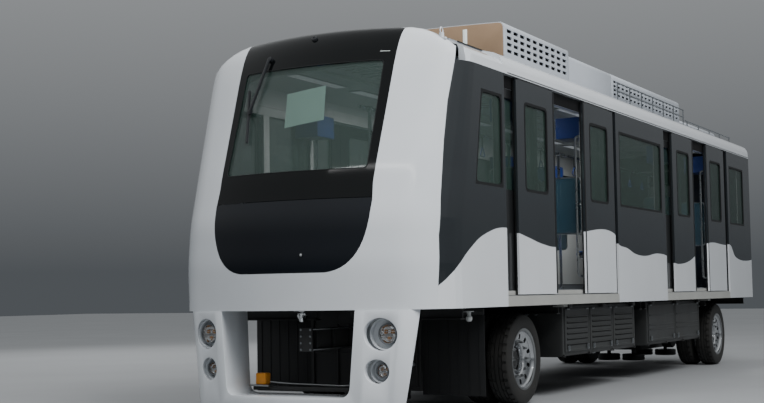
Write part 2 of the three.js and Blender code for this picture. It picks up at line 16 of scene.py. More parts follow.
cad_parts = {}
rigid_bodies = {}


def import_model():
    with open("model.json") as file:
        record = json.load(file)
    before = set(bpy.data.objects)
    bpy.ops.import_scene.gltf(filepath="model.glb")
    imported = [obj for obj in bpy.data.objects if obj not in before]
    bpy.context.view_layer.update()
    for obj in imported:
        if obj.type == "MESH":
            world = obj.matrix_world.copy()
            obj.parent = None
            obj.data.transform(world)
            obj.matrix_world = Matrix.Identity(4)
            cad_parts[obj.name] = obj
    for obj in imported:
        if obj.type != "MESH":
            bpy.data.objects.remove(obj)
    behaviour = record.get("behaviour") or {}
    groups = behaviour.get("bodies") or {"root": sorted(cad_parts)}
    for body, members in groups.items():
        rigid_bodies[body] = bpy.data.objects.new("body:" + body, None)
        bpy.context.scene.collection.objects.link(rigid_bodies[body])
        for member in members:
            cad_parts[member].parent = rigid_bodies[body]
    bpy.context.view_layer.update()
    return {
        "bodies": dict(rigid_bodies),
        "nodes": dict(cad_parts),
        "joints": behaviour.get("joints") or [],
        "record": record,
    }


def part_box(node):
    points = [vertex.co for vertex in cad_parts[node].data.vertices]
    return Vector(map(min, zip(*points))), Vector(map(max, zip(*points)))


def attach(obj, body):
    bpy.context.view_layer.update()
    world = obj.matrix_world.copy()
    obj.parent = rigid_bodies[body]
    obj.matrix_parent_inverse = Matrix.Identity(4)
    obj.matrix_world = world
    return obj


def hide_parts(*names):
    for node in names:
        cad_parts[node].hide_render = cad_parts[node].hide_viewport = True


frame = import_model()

nodes = frame["nodes"]

# %% [markdown]
# ## The camera
# The photo was taken from ahead of the car and to its left, at chest height, with a lens of about
# 62 mm on a full frame. Its place and its three angles were solved from the picture once, so they
# are given here as plain numbers. The camera's axes are built from the three angles.

# %% The camera
MID = -0.290  # x of the point midway between the bogies
EYE = Vector((16.175 + MID, 6.389, 1.135))
YAW, PITCH, ROLL = (math.radians(a) for a in (208.621, 4.038, -0.859))

forward = Vector((math.cos(PITCH) * math.cos(YAW), math.cos(PITCH) * math.sin(YAW), math.sin(PITCH)))
level = forward.cross(Vector((0, 0, 1))).normalized()
upright = level.cross(forward)
right = math.cos(ROLL) * level + math.sin(ROLL) * upright
top = math.cos(ROLL) * upright - math.sin(ROLL) * level

camera_data = bpy.data.cameras.new("photo_camera")
camera_data.sensor_width = 36
camera_data.lens = 61.83
camera_data.clip_end = 200
camera = bpy.data.objects.new("photo_camera", camera_data)
camera.matrix_world = Matrix.Translation(EYE) @ Matrix((right, top, -forward)).transposed().to_4x4()
bpy.context.scene.collection.objects.link(camera)
bpy.context.scene.camera = camera
print("camera at", tuple(round(v, 3) for v in EYE), "lens", camera_data.lens)

# %% [markdown]
# ## Modelling helpers
# Every part is made in a bmesh from an operator: a cube that is scaled and bevelled, a profile that
# is spun round an axis, an outline that is extruded, or a path that is given thickness. A small
# part is made once and copied to all its places. `piece` joins the parts into one object, marks the
# sharp edges, and makes it ride on a body of the model.

# %% Blocks, turned parts, prisms and tubes
def block(low, high, bevel=0.003, segments=2):
    """A box between two corners, with rounded edges."""
    bm = bmesh.new()
    bmesh.ops.create_cube(bm, size=1)
    low, high = Vector(low), Vector(high)
    bmesh.ops.scale(bm, vec=high - low, verts=bm.verts)
    bmesh.ops.translate(bm, vec=(low + high) / 2, verts=bm.verts)
    if bevel:
        bmesh.ops.bevel(bm, geom=bm.edges[:], offset=bevel, affect="EDGES", segments=segments,
                        profile=0.5, material=-1)
    return bm


def centred(middle, size, bevel=0.003, segments=2):
    half = Vector(size) / 2
    return block(Vector(middle) - half, Vector(middle) + half, bevel, segments)


TURN = {"x": Matrix.Rotation(math.pi / 2, 4, "Y"), "y": Matrix.Rotation(-math.pi / 2, 4, "X"),
        "z": Matrix()}


def turned(profile, axis="z", centre=(0, 0, 0), steps=32, closed=False):
    """A profile of (radius, distance along the axis), spun round the axis."""
    bm = bmesh.new()
    verts = [bm.verts.new((radius, 0, along)) for radius, along in profile]
    pairs = list(zip(verts, verts[1:])) + ([(verts[-1], verts[0])] if closed else [])
    edges = [bm.edges.new(pair) for pair in pairs]
    bmesh.ops.spin(bm, geom=verts + edges, axis=(0, 0, 1), cent=(0, 0, 0), steps=steps,
                   angle=math.tau, use_merge=True)
    bmesh.ops.remove_doubles(bm, verts=bm.verts, dist=1e-5)
    bmesh.ops.recalc_face_normals(bm, faces=bm.faces)
    bm.transform(Matrix.Translation(centre) @ TURN[axis])
    return bm


def rod(radius, low, high, axis="z", centre=(0, 0, 0), steps=16, bevel=0.002):
    bevel = min(bevel, radius / 3, (high - low) / 3)
    profile = [(0, low), (radius - bevel, low), (radius, low + bevel), (radius, high - bevel),
               (radius - bevel, high), (0, high)]
    return turned(profile, axis, centre, steps)


PLANES = {"x": lambda a, b, c: (c, a, b), "y": lambda a, b, c: (a, c, b),
          "z": lambda a, b, c: (a, b, c)}


def prism(outline, low, high, axis="y", bevel=0):
    """An outline in the other two axes, extruded along this one."""
    bm = bmesh.new()
    face = bm.faces.new([bm.verts.new(PLANES[axis](a, b, low)) for a, b in outline])
    made = bmesh.ops.extrude_face_region(bm, geom=[face])["geom"]
    bmesh.ops.translate(bm, vec=PLANES[axis](0, 0, high - low),
                        verts=[v for v in made if isinstance(v, bmesh.types.BMVert)])
    bmesh.ops.recalc_face_normals(bm, faces=bm.faces)
    if bevel:
        level = "xyz".index(axis)
        ends = [e for e in bm.edges if len({round(v.co[level], 6) for v in e.verts}) == 1]
        bmesh.ops.bevel(bm, geom=ends, offset=bevel, affect="EDGES", segments=2, profile=0.5,
                        material=-1)
    return bm


def bend(start, control, end, steps=6):
    """A curve from start to end that leans towards the control point."""
    start, control, end = Vector(start), Vector(control), Vector(end)
    return [tuple((1 - t) ** 2 * start + 2 * t * (1 - t) * control + t ** 2 * end)
            for t in (k / steps for k in range(steps + 1))]


def rounded(corners, radius, steps=6):
    """An outline with each corner turned into a curve that starts a radius away from it."""
    points = []
    for k in range(len(corners)):
        trio = corners[k], corners[k - 1], corners[(k + 1) % len(corners)]
        corner, before, after = (Vector(c) for c in trio)
        points += bend(corner + (before - corner).normalized() * radius, corner,
                       corner + (after - corner).normalized() * radius, steps)
    return points


def rectangle(a0, a1, b0, b1, radius=0.0):
    corners = [(a0, b0), (a1, b0), (a1, b1), (a0, b1)]
    return rounded(corners, radius) if radius else corners


def frame_ring(outer, inner, low, high, axis="y"):
    """A flat ring between two outlines."""
    bm = bmesh.new()
    for outline in (outer, inner):
        ring = [bm.verts.new(PLANES[axis](a, b, low)) for a, b in outline]
        for k in range(len(ring)):
            bm.edges.new((ring[k - 1], ring[k]))
    faces = bmesh.ops.triangle_fill(bm, edges=bm.edges[:], use_beauty=True)["geom"]
    faces = [f for f in faces if isinstance(f, bmesh.types.BMFace)]
    made = bmesh.ops.extrude_face_region(bm, geom=faces)["geom"]
    bmesh.ops.translate(bm, vec=PLANES[axis](0, 0, high - low),
                        verts=[v for v in made if isinstance(v, bmesh.types.BMVert)])
    bmesh.ops.recalc_face_normals(bm, faces=bm.faces)
    return bm


def tube(points, radius, smooth=False, sides=2):
    """A round bar along a path, straight from point to point or in one smooth curve."""
    curve = bpy.data.curves.new("path", "CURVE")
    curve.dimensions = "3D"
    curve.bevel_depth = radius
    curve.bevel_resolution = sides
    curve.resolution_u = 6
    curve.use_fill_caps = True
    spline = curve.splines.new("NURBS" if smooth else "POLY")
    spline.points.add(len(points) - 1)
    for point, place in zip(spline.points, points):
        point.co = (*place, 1)
    spline.order_u = 3
    spline.use_endpoint_u = True
    holder = bpy.data.objects.new("path", curve)
    mesh = bpy.data.meshes.new_from_object(holder)
    bm = bmesh.new()
    bm.from_mesh(mesh)
    bpy.data.objects.remove(holder)
    bpy.data.curves.remove(curve)
    bpy.data.meshes.remove(mesh)
    bmesh.ops.remove_doubles(bm, verts=bm.verts, dist=1e-5)
    bmesh.ops.recalc_face_normals(bm, faces=bm.faces)
    return bm


def copies(part, places):
    """The same small part at many places, each given as a point or a matrix."""
    mesh = bpy.data.meshes.new("part")
    part.to_mesh(mesh)
    part.free()
    bm = bmesh.new()
    for place in places:
        matrix = place if isinstance(place, Matrix) else Matrix.Translation(place)
        start = len(bm.verts)
        bm.from_mesh(mesh)
        bm.verts.ensure_lookup_table()
        bmesh.ops.transform(bm, matrix=matrix, verts=bm.verts[start:])
        if matrix.determinant() < 0:
            bm.faces.ensure_lookup_table()
            fresh = {f for v in bm.verts[start:] for f in v.link_faces}
            bmesh.ops.reverse_faces(bm, faces=list(fresh))
    bpy.data.meshes.remove(mesh)
    return bm


MIRROR_Y = Matrix.Diagonal((1, -1, 1, 1))


def both_sides(part):
    return copies(part, [Matrix(), MIRROR_Y])


triangles = {}


def piece(name, body, parts, material, slot=None, replaces=(), sharp=35):
    """Joins parts into one object that rides on a body of the model."""
    mesh = bpy.data.meshes.new(name)
    whole = bmesh.new()
    for part in parts:
        part.to_mesh(mesh)
        whole.from_mesh(mesh)
        part.free()
    for face in whole.faces:
        face.smooth = True
    for edge in whole.edges:
        edge.smooth = len(edge.link_faces) == 2 and edge.calc_face_angle() < math.radians(sharp)
    whole.to_mesh(mesh)
    whole.free()
    mesh.materials.clear()
    mesh.materials.append(material)
    thing = bpy.data.objects.new(name, mesh)
    bpy.context.scene.collection.objects.link(thing)
    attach(thing, body)
    if replaces:
        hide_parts(*replaces)
    triangles[name] = sum(len(p.vertices) - 2 for p in mesh.polygons)
    return thing


CAR = "car_body"
SIDES = {"left": 1, "right": -1}
print("helpers ready")

# %% [markdown]
# ## Materials
# Colours are written as the hex values that a picture program shows, and one function turns them
# into the linear values that the renderer works in. One more function adds a shader node, sets its
# inputs and links it. Most finishes on this car are paints and mouldings, which differ in colour,
# gloss and grain: `finish` makes those. Noise as wide as a hand or an arm shifts the colour and the
# gloss a little, and noise as fine as the grain gives the bump.

# %% Colour and node helpers
def linear(hex_colour):
    values = [int(hex_colour[i:i + 2], 16) / 255 for i in (1, 3, 5)]
    return tuple(v / 12.92 if v <= 0.04045 else ((v + 0.055) / 1.055) ** 2.4 for v in values) + (1.0,)


def new_material(name, **constants):
    """A material whose shader's own sockets hold the given constants."""
    made = bpy.data.materials.new(name)
    made.use_nodes = True
    shader = made.node_tree.nodes["Principled BSDF"]
    for key, value in constants.items():
        shader.inputs[key.replace("_", " ")].default_value = value
    return made, made.node_tree, shader


def add(tree, kind, inputs=None, **settings):
    """Adds a node. An input is a constant, or a socket of another node that is linked to it."""
    node = tree.nodes.new(kind)
    for key, value in settings.items():
        setattr(node, key, value)
    for key, value in (inputs or {}).items():
        if isinstance(value, bpy.types.NodeSocket):
            tree.links.new(value, node.inputs[key])
        else:
            node.inputs[key].default_value = value
    return node


def finish(name, pale, deep, gloss, grain, bump, cloud=0.35, **constants):
    """A finish between two colours and two roughnesses. Grain and bump are in millimetres."""
    made, tree, shader = new_material(name, **constants)
    place = add(tree, "ShaderNodeTexCoord").outputs["Object"]
    wide = add(tree, "ShaderNodeTexNoise", {"Vector": place, "Scale": 1 / cloud, "Detail": 5.0})
    tint = add(tree, "ShaderNodeMix", {"Factor": wide.outputs["Fac"], 6: linear(pale), 7: linear(deep)},
               data_type="RGBA")
    rough = add(tree, "ShaderNodeMapRange", {"Value": wide.outputs["Fac"], 3: gloss[0], 4: gloss[1]})
    fine = add(tree, "ShaderNodeTexNoise", {"Vector": place, "Scale": 1000 / grain, "Detail": 3.0})
    relief = add(tree, "ShaderNodeBump", {"Height": fine.outputs["Fac"], "Distance": bump / 1000})
    tree.links.new(tint.outputs[2], shader.inputs["Base Color"])
    tree.links.new(rough.outputs[0], shader.inputs["Roughness"])
    tree.links.new(relief.outputs[0], shader.inputs["Normal"])
    return made


print("white enamel is", [round(v, 3) for v in linear("#c9cdd1")[:3]])

# %% [markdown]
# The fairing and the skirt are glass-fibre mouldings with a sprayed gloss paint. Such paint has a
# faint orange peel, a ripple of a few millimetres, which breaks up the edges of reflections. The
# ripple is drawn 8 mm wide, a little coarser than it is. The same paint is on the cantrails. Most
# other paints are duller, and one line over each says what it gives the eye.

# %% Paints
gelcoat = finish("sprayed_gloss_white", "#d3d7db", "#c6cbd0", (0.10, 0.17), 8, 0.03, cloud=0.8,
                 Coat_Weight=0.5, Coat_Roughness=0.06)
# Dark glass-fibre with a gloss coat: deep, with a soft mirror image
mask_paint = finish("charcoal_gloss_laminate", "#0f1319", "#0a0d12", (0.08, 0.13), 9, 0.02, cloud=0.6,
                    Coat_Weight=0.15, Coat_Roughness=0.04, Specular_IOR_Level=0.30)
# Ceramic ink fired on glass: the blackest and smoothest of the paints
black_glaze = finish("black_ceramic_glaze", "#07090a", "#0a0c0d", (0.05, 0.09), 12, 0.01,
                     Specular_IOR_Level=0.22)
# Electrophoretic black on steel: satin, with a film of dust that pales it in patches
chassis = finish("satin_black_frame_paint", "#1a1b1d", "#2c2c2b", (0.42, 0.7), 5, 0.08, cloud=0.25)
# Sprayed on folded sheet, a little paler than the frame, so that the boxes stand out from it
box_paint = finish("dark_grey_box_paint", "#26282a", "#313230", (0.35, 0.6), 4, 0.06, cloud=0.4)
# A thin satin coat on steel that has greyed in use
sill_paint = finish("off_white_sill_paint", "#a6a7a3", "#90918d", (0.3, 0.5), 4, 0.05, cloud=0.3)
# Brushed on, dull and a little uneven
roof_paint = finish("grey_roof_paint", "#9a9fa5", "#858a90", (0.35, 0.55), 6, 0.08, cloud=0.5)
# Wide patches of tone under a satin skin
unit_shell = finish("pale_moulded_unit_shell", "#b7bdc4", "#a3a9b1", (0.22, 0.38), 6, 0.05, cloud=0.5)
# Painted shade: black and dull, put inside slots and on parts that stand in shade, so that their depth
# doesn't show
painted_shade_black = finish("painted_shade_gap_black", "#0a0a0b", "#0e0e0f", (0.8, 0.95), 6, 0.1)
print(len(bpy.data.materials), "paints")

# %% [markdown]
# Metals mirror in their own colour, so their roughness tells one from another: a machined rim shows
# sharp glints, an anodised strip a soft sheen and galvanised sheet a mottled one. Plastics and rubber
# mirror weakly and show their own colour. Rubber is the dullest of them.

# %% Metals
zinc = finish("galvanised_sheet", "#9da1a4", "#7f8386", (0.32, 0.5), 18, 0.05, cloud=0.06, Metallic=0.9)
# An even, soft sheen
aluminium = finish("anodised_aluminium", "#b4b7ba", "#a3a6a9", (0.28, 0.42), 1.2, 0.02, cloud=0.2,
                   Metallic=1.0)
# Turned and clear-coated: bright, with patches that are smoother than others
polished = finish("machined_bright_rim", "#cfd1d3", "#b9bbbd", (0.10, 0.22), 2.5, 0.03, cloud=0.07,
                  Metallic=1.0)
# Plated bolts and wire: small points of light, darker than the rims
steel = finish("plated_steel_fastener", "#a9abac", "#8b8d8e", (0.25, 0.4), 1.5, 0.03, cloud=0.05,
               Metallic=1.0)
# Poles and rails: a blurred line of light along each tube
brushed = finish("brushed_steel_tube", "#b4b6b8", "#a0a2a4", (0.2, 0.34), 1.0, 0.02, cloud=0.3,
                 Metallic=1.0)
# A mirror inside each lamp, evaporated on plastic
reflector = finish("vacuum_metallised_reflector", "#d8dadb", "#c2c4c6", (0.05, 0.12), 4, 0.03, cloud=0.05,
                   Metallic=1.0)
print(len(bpy.data.materials), "finishes so far")

# %% Plastics, rubber, board and paper
rubber = finish("extruded_black_rubber", "#0c0d0e", "#161718", (0.5, 0.68), 2, 0.05, cloud=0.1)
# Textured sheet, dark and dull
lining = finish("dark_wall_laminate", "#2a2d2f", "#232628", (0.45, 0.6), 3, 0.05)
# Smooth pale sheet that spreads the light in the room
panel_white = finish("pale_ceiling_laminate", "#b9bcbb", "#abafae", (0.35, 0.5), 2, 0.03)
# Flecks the size of a coin, dull as floors are
floor_vinyl = finish("speckled_floor_vinyl", "#5b5f63", "#474b4f", (0.4, 0.6), 4, 0.08, cloud=0.02)
# Milky sheet under the ceiling's lamps, pale, with a faint painted glow from its emission
diffuser_painted_glow = finish("opal_diffuser_painted_glow", "#eef2f4", "#e2e8ec", (0.35, 0.45), 12, 0.02, cloud=0.2,
                  Emission_Color=linear("#f2f6fa"), Emission_Strength=0.12)
# Injection-moulded with a fine spark-eroded grain: strong colour, soft highlight
seat_shell = finish("blue_moulded_seat_plastic", "#2b4c8f", "#234180", (0.32, 0.45), 1.5, 0.06, cloud=0.3)
# Loose film: its creases, 30 mm wide, break the highlight up
blue_film = finish("blue_protective_film", "#22366b", "#1a2a58", (0.2, 0.4), 30, 1.2, cloud=0.2)
# Bright, even and half-dull
orange = finish("amber_warning_plastic", "#dd9226", "#c97d1b", (0.35, 0.5), 2, 0.05, cloud=0.05)
# Clear deep red: its gloss is a lens's, its colour the plastic's own
tail_red = finish("moulded_red_lens", "#a3161a", "#7d0f12", (0.08, 0.16), 60, 0.12, cloud=0.1)
# Satin mouldings round the lamps
lamp_black = finish("black_lamp_moulding", "#15171a", "#1d1f22", (0.3, 0.45), 2, 0.04, cloud=0.1)
lamp_grey = finish("grey_lamp_bezel", "#74787c", "#63676b", (0.25, 0.4), 2, 0.03, cloud=0.1)
# A primer coat on plywood: brown, flat, with a short grain
plywood = finish("brown_primed_plywood_cover", "#9a8168", "#86705a", (0.6, 0.8), 3, 0.12, cloud=0.3)
# Card and paper are dull, and buckle in waves 40 mm long
card = finish("pale_green_card", "#d2fbee", "#c6f0e2", (0.7, 0.85), 40, 0.8, cloud=0.1)
paper = finish("plain_white_paper", "#f3f8f6", "#e6eeeb", (0.7, 0.85), 40, 0.8, cloud=0.1)
print(len(bpy.data.materials), "finishes")

# %% [markdown]
# Glass shows two things at once: what is behind it, tinted, and what it mirrors. The panes are
# thin, so most of the light is let straight through by alpha, and the shader's own gloss gives the
# mirror image. The windscreen is clearer than the side panes, a lamp's lens is clearer still, and the
# plastic screens beside the doors are the bluest and least clear.

# %% Glass
def glazing(name, colour, alpha, roughness=0.02):
    made, tree, shader = new_material(name, Alpha=alpha, IOR=1.52, Specular_IOR_Level=0.8)
    place = add(tree, "ShaderNodeTexCoord").outputs["Object"]
    haze = add(tree, "ShaderNodeTexNoise", {"Vector": place, "Scale": 3.0, "Detail": 6.0})
    cloud = haze.outputs["Fac"]
    tint = add(tree, "ShaderNodeMix", {"Factor": cloud, 6: linear(colour[0]), 7: linear(colour[1])},
               data_type="RGBA")
    film = add(tree, "ShaderNodeMapRange", {"Value": cloud, 3: roughness, 4: roughness + 0.05})
    tree.links.new(tint.outputs[2], shader.inputs["Base Color"])
    tree.links.new(film.outputs[0], shader.inputs["Roughness"])
    return made


screen_glass = glazing("green_laminated_windscreen", ("#30453f", "#283a35"), 0.40)
side_glass = glazing("grey_green_side_glass", ("#34463f", "#2a3833"), 0.52)
screen_plastic = glazing("blue_green_tinted_screen", ("#2b4552", "#233a46"), 0.74, 0.08)
lens_glass = glazing("clear_lamp_lens", ("#8d8a88", "#7f7b78"), 0.16)
print(len(bpy.data.materials), "finishes with the glass")

# %% [markdown]
# The side livery is a white band below and charcoal above, and the line between them is a wave
# that runs along the whole car. Both are gloss enamel on aluminium sheet. The wave is one curve of
# height against distance, read by a Float Curve node from the object's X, and it steps where one
# leaf or panel ends and the next begins. In two places on each side the curve rises to a flat top
# at 1.79 to 1.81 m, and the white there is a painted reflection of a bright window, not enamel.
# Behind the outer sheets, closer in than 1.40 m, the same parts are plain black as far as the front
# panel, so the doors' recesses are black too.

# %% The livery
WAVE_WITH_PAINTED_REFLECTION_LEFT = [
    # x from midway between the bogies, height
    # The flat tops at 1.79 to 1.81 m are a painted reflection of a bright window, not the wave.
    (-5.42, 1.60), (-5.06, 1.58), (-4.64, 1.59), (-4.33, 1.64), (-4.04, 1.81), (-3.80, 1.80), (-2.78, 1.80),
    (-2.08, 1.61), (-1.77, 1.53), (-1.27, 1.48), (-1.06, 1.49), (-0.67, 1.58), (-0.26, 1.60), (0.27, 1.56),
    (0.66, 1.58), (0.95, 1.64), (1.28, 1.68), (1.37, 1.79), (2.39, 1.79), (3.27, 1.60), (3.68, 1.62),
    (4.02, 1.67), (4.29, 1.71), (4.64, 1.75), (5.10, 1.675), (5.44, 1.53), (5.65, 1.40), (5.91, 1.21),
    (6.08, 1.07),
]
# The far doors are shut, so their leaves carry the same waves, with the same painted reflection,
# nearer to the doorways' middles.
WAVE_WITH_PAINTED_REFLECTION_RIGHT = [
    (-5.42, 1.60), (-5.06, 1.58), (-4.64, 1.59), (-4.33, 1.64), (-4.04, 1.81), (-3.35, 1.80), (-2.33, 1.80),
    (-2.31, 1.61), (-2.01, 1.53), (-1.51, 1.48), (-1.30, 1.49), (-0.67, 1.58), (-0.26, 1.60), (0.27, 1.56),
    (0.66, 1.58), (0.95, 1.64), (1.28, 1.68), (1.91, 1.79), (2.93, 1.79), (2.95, 1.60), (3.35, 1.62),
    (3.69, 1.67), (3.96, 1.71), (4.64, 1.75), (5.10, 1.68), (5.44, 1.57), (5.65, 1.47), (5.91, 1.33),
    (6.08, 1.24),
]
CURVE_START, CURVE_SPAN, CURVE_TOP = -5.75, 11.75, 4.0
SKIN_DEPTH = 1.40  # nearer to the middle than this, the metal is plain black
RECESS_END = 4.590 + MID  # but not ahead of this, where the panel turns in with the nose


def livery(name, wave):
    made, tree, shader = new_material(name, Coat_Weight=0.6, Coat_Roughness=0.03)
    place = add(tree, "ShaderNodeTexCoord").outputs["Object"]
    parts = add(tree, "ShaderNodeSeparateXYZ", {"Vector": place})
    along = add(tree, "ShaderNodeMapRange", {"Value": parts.outputs["X"], 1: CURVE_START,
                                             2: CURVE_START + CURVE_SPAN})
    curve = add(tree, "ShaderNodeFloatCurve", {"Value": along.outputs[0]})
    line = curve.mapping.curves[0]
    spots = [((x + MID - CURVE_START) / CURVE_SPAN, z / CURVE_TOP) for x, z in wave]
    line.points[0].location, line.points[1].location = spots[0], spots[-1]
    for spot in spots[1:-1]:
        line.points.new(*spot)
    curve.mapping.update()
    edge = add(tree, "ShaderNodeMath", {0: curve.outputs[0], 1: CURVE_TOP}, operation="MULTIPLY")
    above = add(tree, "ShaderNodeMath", {0: parts.outputs["Z"], 1: edge.outputs[0]}, operation="SUBTRACT")
    dark = add(tree, "ShaderNodeMapRange", {"Value": above.outputs[0], 1: -0.002, 2: 0.002})
    wide = add(tree, "ShaderNodeTexNoise", {"Vector": place, "Scale": 1.4, "Detail": 4.0})
    # The white also fills the curve's flat tops, where it is a painted reflection.
    white = add(tree, "ShaderNodeMix", {"Factor": wide.outputs["Fac"], 6: linear("#d6dade"),
                                        7: linear("#c8ccd0")}, data_type="RGBA")
    charcoal = add(tree, "ShaderNodeMix", {"Factor": wide.outputs["Fac"], 6: linear("#1c2023"),
                                           7: linear("#25292c")}, data_type="RGBA")
    band = add(tree, "ShaderNodeMix", {"Factor": dark.outputs[0], 6: white.outputs[2],
                                       7: charcoal.outputs[2]},
               data_type="RGBA")
    depth = add(tree, "ShaderNodeMath", {0: parts.outputs["Y"]}, operation="ABSOLUTE")
    outer = add(tree, "ShaderNodeMath", {0: depth.outputs[0], 1: SKIN_DEPTH}, operation="GREATER_THAN")
    ahead = add(tree, "ShaderNodeMath", {0: parts.outputs["X"], 1: RECESS_END}, operation="GREATER_THAN")
    skin = add(tree, "ShaderNodeMath", {0: outer.outputs[0], 1: ahead.outputs[0]}, operation="MAXIMUM")
    colour = add(tree, "ShaderNodeMix", {"Factor": skin.outputs[0], 6: linear("#0d0e0f"), 7: band.outputs[2]},
                 data_type="RGBA")
    rough = add(tree, "ShaderNodeMapRange", {"Value": skin.outputs[0], 3: 0.5, 4: 0.09})
    peel = add(tree, "ShaderNodeTexNoise", {"Vector": place, "Scale": 60.0, "Detail": 2.0})
    relief = add(tree, "ShaderNodeBump", {"Height": peel.outputs["Fac"], "Distance": 0.00003})
    tree.links.new(colour.outputs[2], shader.inputs["Base Color"])
    tree.links.new(rough.outputs[0], shader.inputs["Roughness"])
    tree.links.new(relief.outputs[0], shader.inputs["Normal"])
    return made


wave_and_reflection_finish = {"left": livery("wave_enamel_and_painted_reflection_left", WAVE_WITH_PAINTED_REFLECTION_LEFT),
               "right": livery("wave_enamel_and_painted_reflection_right", WAVE_WITH_PAINTED_REFLECTION_RIGHT)}
print("the wave has", len(WAVE_WITH_PAINTED_REFLECTION_LEFT), "points")

# %% Finishes of the solids that stay
def dress(material, *names):
    for name in names:
        node = nodes[name]
        node.data.materials.clear()
        node.data.materials.append(material)


dress(chassis, *nodes)
for side in SIDES:
    dress(wave_and_reflection_finish[side], *[n for n in nodes if side in n and ("panel" in n or "leaf" in n)])
    dress(gelcoat, f"cantrail_{side}")
    dress(sill_paint, f"side_sill_{side}")
    dress(seat_shell, f"bench_{side}")
dress(gelcoat, "nose_fairing", "front_skirt")
dress(mask_paint, "front_mask", "rear_end_wall", "end_door")
dress(screen_glass, "windscreen")
dress(roof_paint, "roof_skin", "roof_cover_rear")
dress(unit_shell, "air_conditioner_front", "air_conditioner_rear")
dress(brushed, "grab_rails")
dress(lining, "cab_console")
dress(box_paint, "inverter_box", "battery_box", "air_supply_box", "resistor_box")
print("finishes on", len(nodes), "solids")

# %% [markdown]
# ## The nose
# The fairing, the black mask and the windscreen are three parts of one smooth form: a bowed front
# with rounded corners that leans back as it rises, under a crowned roof. The solids draw it with
# flat facets, which would break up every reflection, so the form is made again with the same
# driving sizes and many more faces. A grid is the start. Each of its points is pushed out from the
# middle of the cab until it meets the form, then the sheet gets its thickness from the solidify
# operator, and the Boolean modifier cuts out the three parts along the same lines as in the solids.

# %% The form of the nose
HALF_WIDTH = 1.425
BOW = 0.372  # how far a corner turns before the face bows across
LEAN = [  # height, where the middle of the face comes to from midway between the bogies, corner radius
    (0.9, 6.369, 0.600), (1.0, 6.370, 0.600), (1.4, 6.390, 0.600), (1.8, 6.350, 0.600), (2.26, 6.215, 0.574),
    (2.76, 6.035, 0.478), (3.26, 5.860, 0.393), (3.48, 5.765, 0.371), (3.60, 5.665, 0.360),
    (3.68, 5.560, 0.350), (3.8, 5.30, 0.350),
]
CROWN = [  # distance from the middle and height: each curve bends towards the point between its ends
    ((1.425, 3.26), (1.425, 3.40), (1.25, 3.44)),
    ((1.25, 3.44), (1.06, 3.59), (0.85, 3.605)),
    ((0.85, 3.605), (0.0, 3.655), (-0.85, 3.605)),
]


def crown_height(y):
    steps = np.linspace(0, 1, 24)[:, None]
    line = np.vstack([(1 - steps) ** 2 * a + 2 * steps * (1 - steps) * b + steps ** 2 * c
                      for a, b, c in np.array(CROWN)])[::-1]
    return np.interp(np.abs(y), line[:, 0], line[:, 1])


def face_reach(y, z):
    """How far forward the front comes, with the kinks between the heights smoothed out."""
    heights, reaches, radii = np.array(LEAN).T
    front, corner = [np.mean([np.interp(z + d, heights, values) for d in np.linspace(-0.09, 0.09, 7)], axis=0)
                     for values in (reaches, radii)]
    flat = HALF_WIDTH - corner
    turn_y = flat + corner * math.sin(BOW)
    centre_x = front - corner * math.cos(BOW) - turn_y * math.tan(BOW) / 2
    y = np.abs(y)
    bowed = centre_x + corner * math.cos(BOW) + math.tan(BOW) / (2 * turn_y) * (turn_y ** 2 - y ** 2)
    round_corner = centre_x + np.sqrt(np.clip(corner ** 2 - np.clip(y - flat, 0, None) ** 2, 0, None))
    return np.where(y < turn_y, bowed, round_corner) + MID


def outside(points, blend=0.05):
    """More than zero outside the form. The edge between face and crown is blended round."""
    x, y, z = points.T
    over_face, over_crown = x - face_reach(y, z), z - crown_height(y)
    near = np.clip(1 - np.abs(over_face - over_crown) / blend, 0, None)
    return np.maximum(np.maximum(over_face, over_crown) + blend * near ** 2 / 4, np.abs(y) - HALF_WIDTH)


NOSE_START_X = 5.0 + MID  # the points are pushed out from a line here
NOSE_LOW, NOSE_TURN = 1.0, 3.0  # below the turn they go level, above it they fan upwards
ACROSS, UP, FAN = 144, 46, 26  # faces across, up to the turn, and in the fan above it
SWING, RISE = np.radians((86, 78))  # how far the points' rays turn to the side and upwards
CROWDING = 0.85  # below 1, more of the points go to the sides
REACH, HALVINGS = 3.0, 30  # each ray's length, and how often it is halved to find the form


def nose_sheet(depth, thickness):
    """The nose's skin as a closed sheet, set in from the form by a depth."""
    bm = bmesh.new()
    bmesh.ops.create_grid(bm, x_segments=ACROSS, y_segments=UP + FAN, size=1)
    u, v = np.array([vert.co[:2] for vert in bm.verts]).T
    row = (v + 1) / 2 * (UP + FAN)
    swing = SWING * np.sign(u) * np.abs(u) ** CROWDING
    rise = RISE * np.clip(row - UP, 0, None) / FAN
    start = np.stack([np.full_like(u, NOSE_START_X), 0 * u,
                      NOSE_LOW + (NOSE_TURN - NOSE_LOW) * np.clip(row / UP, 0, 1)], axis=1)
    way = np.stack([np.cos(swing) * np.cos(rise), np.sin(swing) * np.cos(rise), np.sin(rise)], axis=1)
    near, far = np.zeros_like(u), np.full_like(u, REACH)
    for _ in range(HALVINGS):
        middle = (near + far) / 2
        inside = outside(start + way * middle[:, None]) < 0
        near, far = np.where(inside, middle, near), np.where(inside, far, middle)
    for vert, place in zip(bm.verts, start + way * near[:, None]):
        vert.co = place
    bmesh.ops.recalc_face_normals(bm, faces=bm.faces)
    bm.normal_update()
    if depth:
        for vert, push in [(vert, vert.normal * -depth) for vert in bm.verts]:
            vert.co += push
    middle_face = max(bm.faces, key=lambda f: f.calc_center_median().x)
    if middle_face.normal.x < 0:
        bmesh.ops.reverse_faces(bm, faces=bm.faces)
    bmesh.ops.solidify(bm, geom=bm.faces[:], thickness=thickness)
    return bm


trial = nose_sheet(0, 0.05)
print("nose skin:", len(trial.faces), "faces, reaches x", round(max(v.co.x for v in trial.verts), 3))
trial.free()


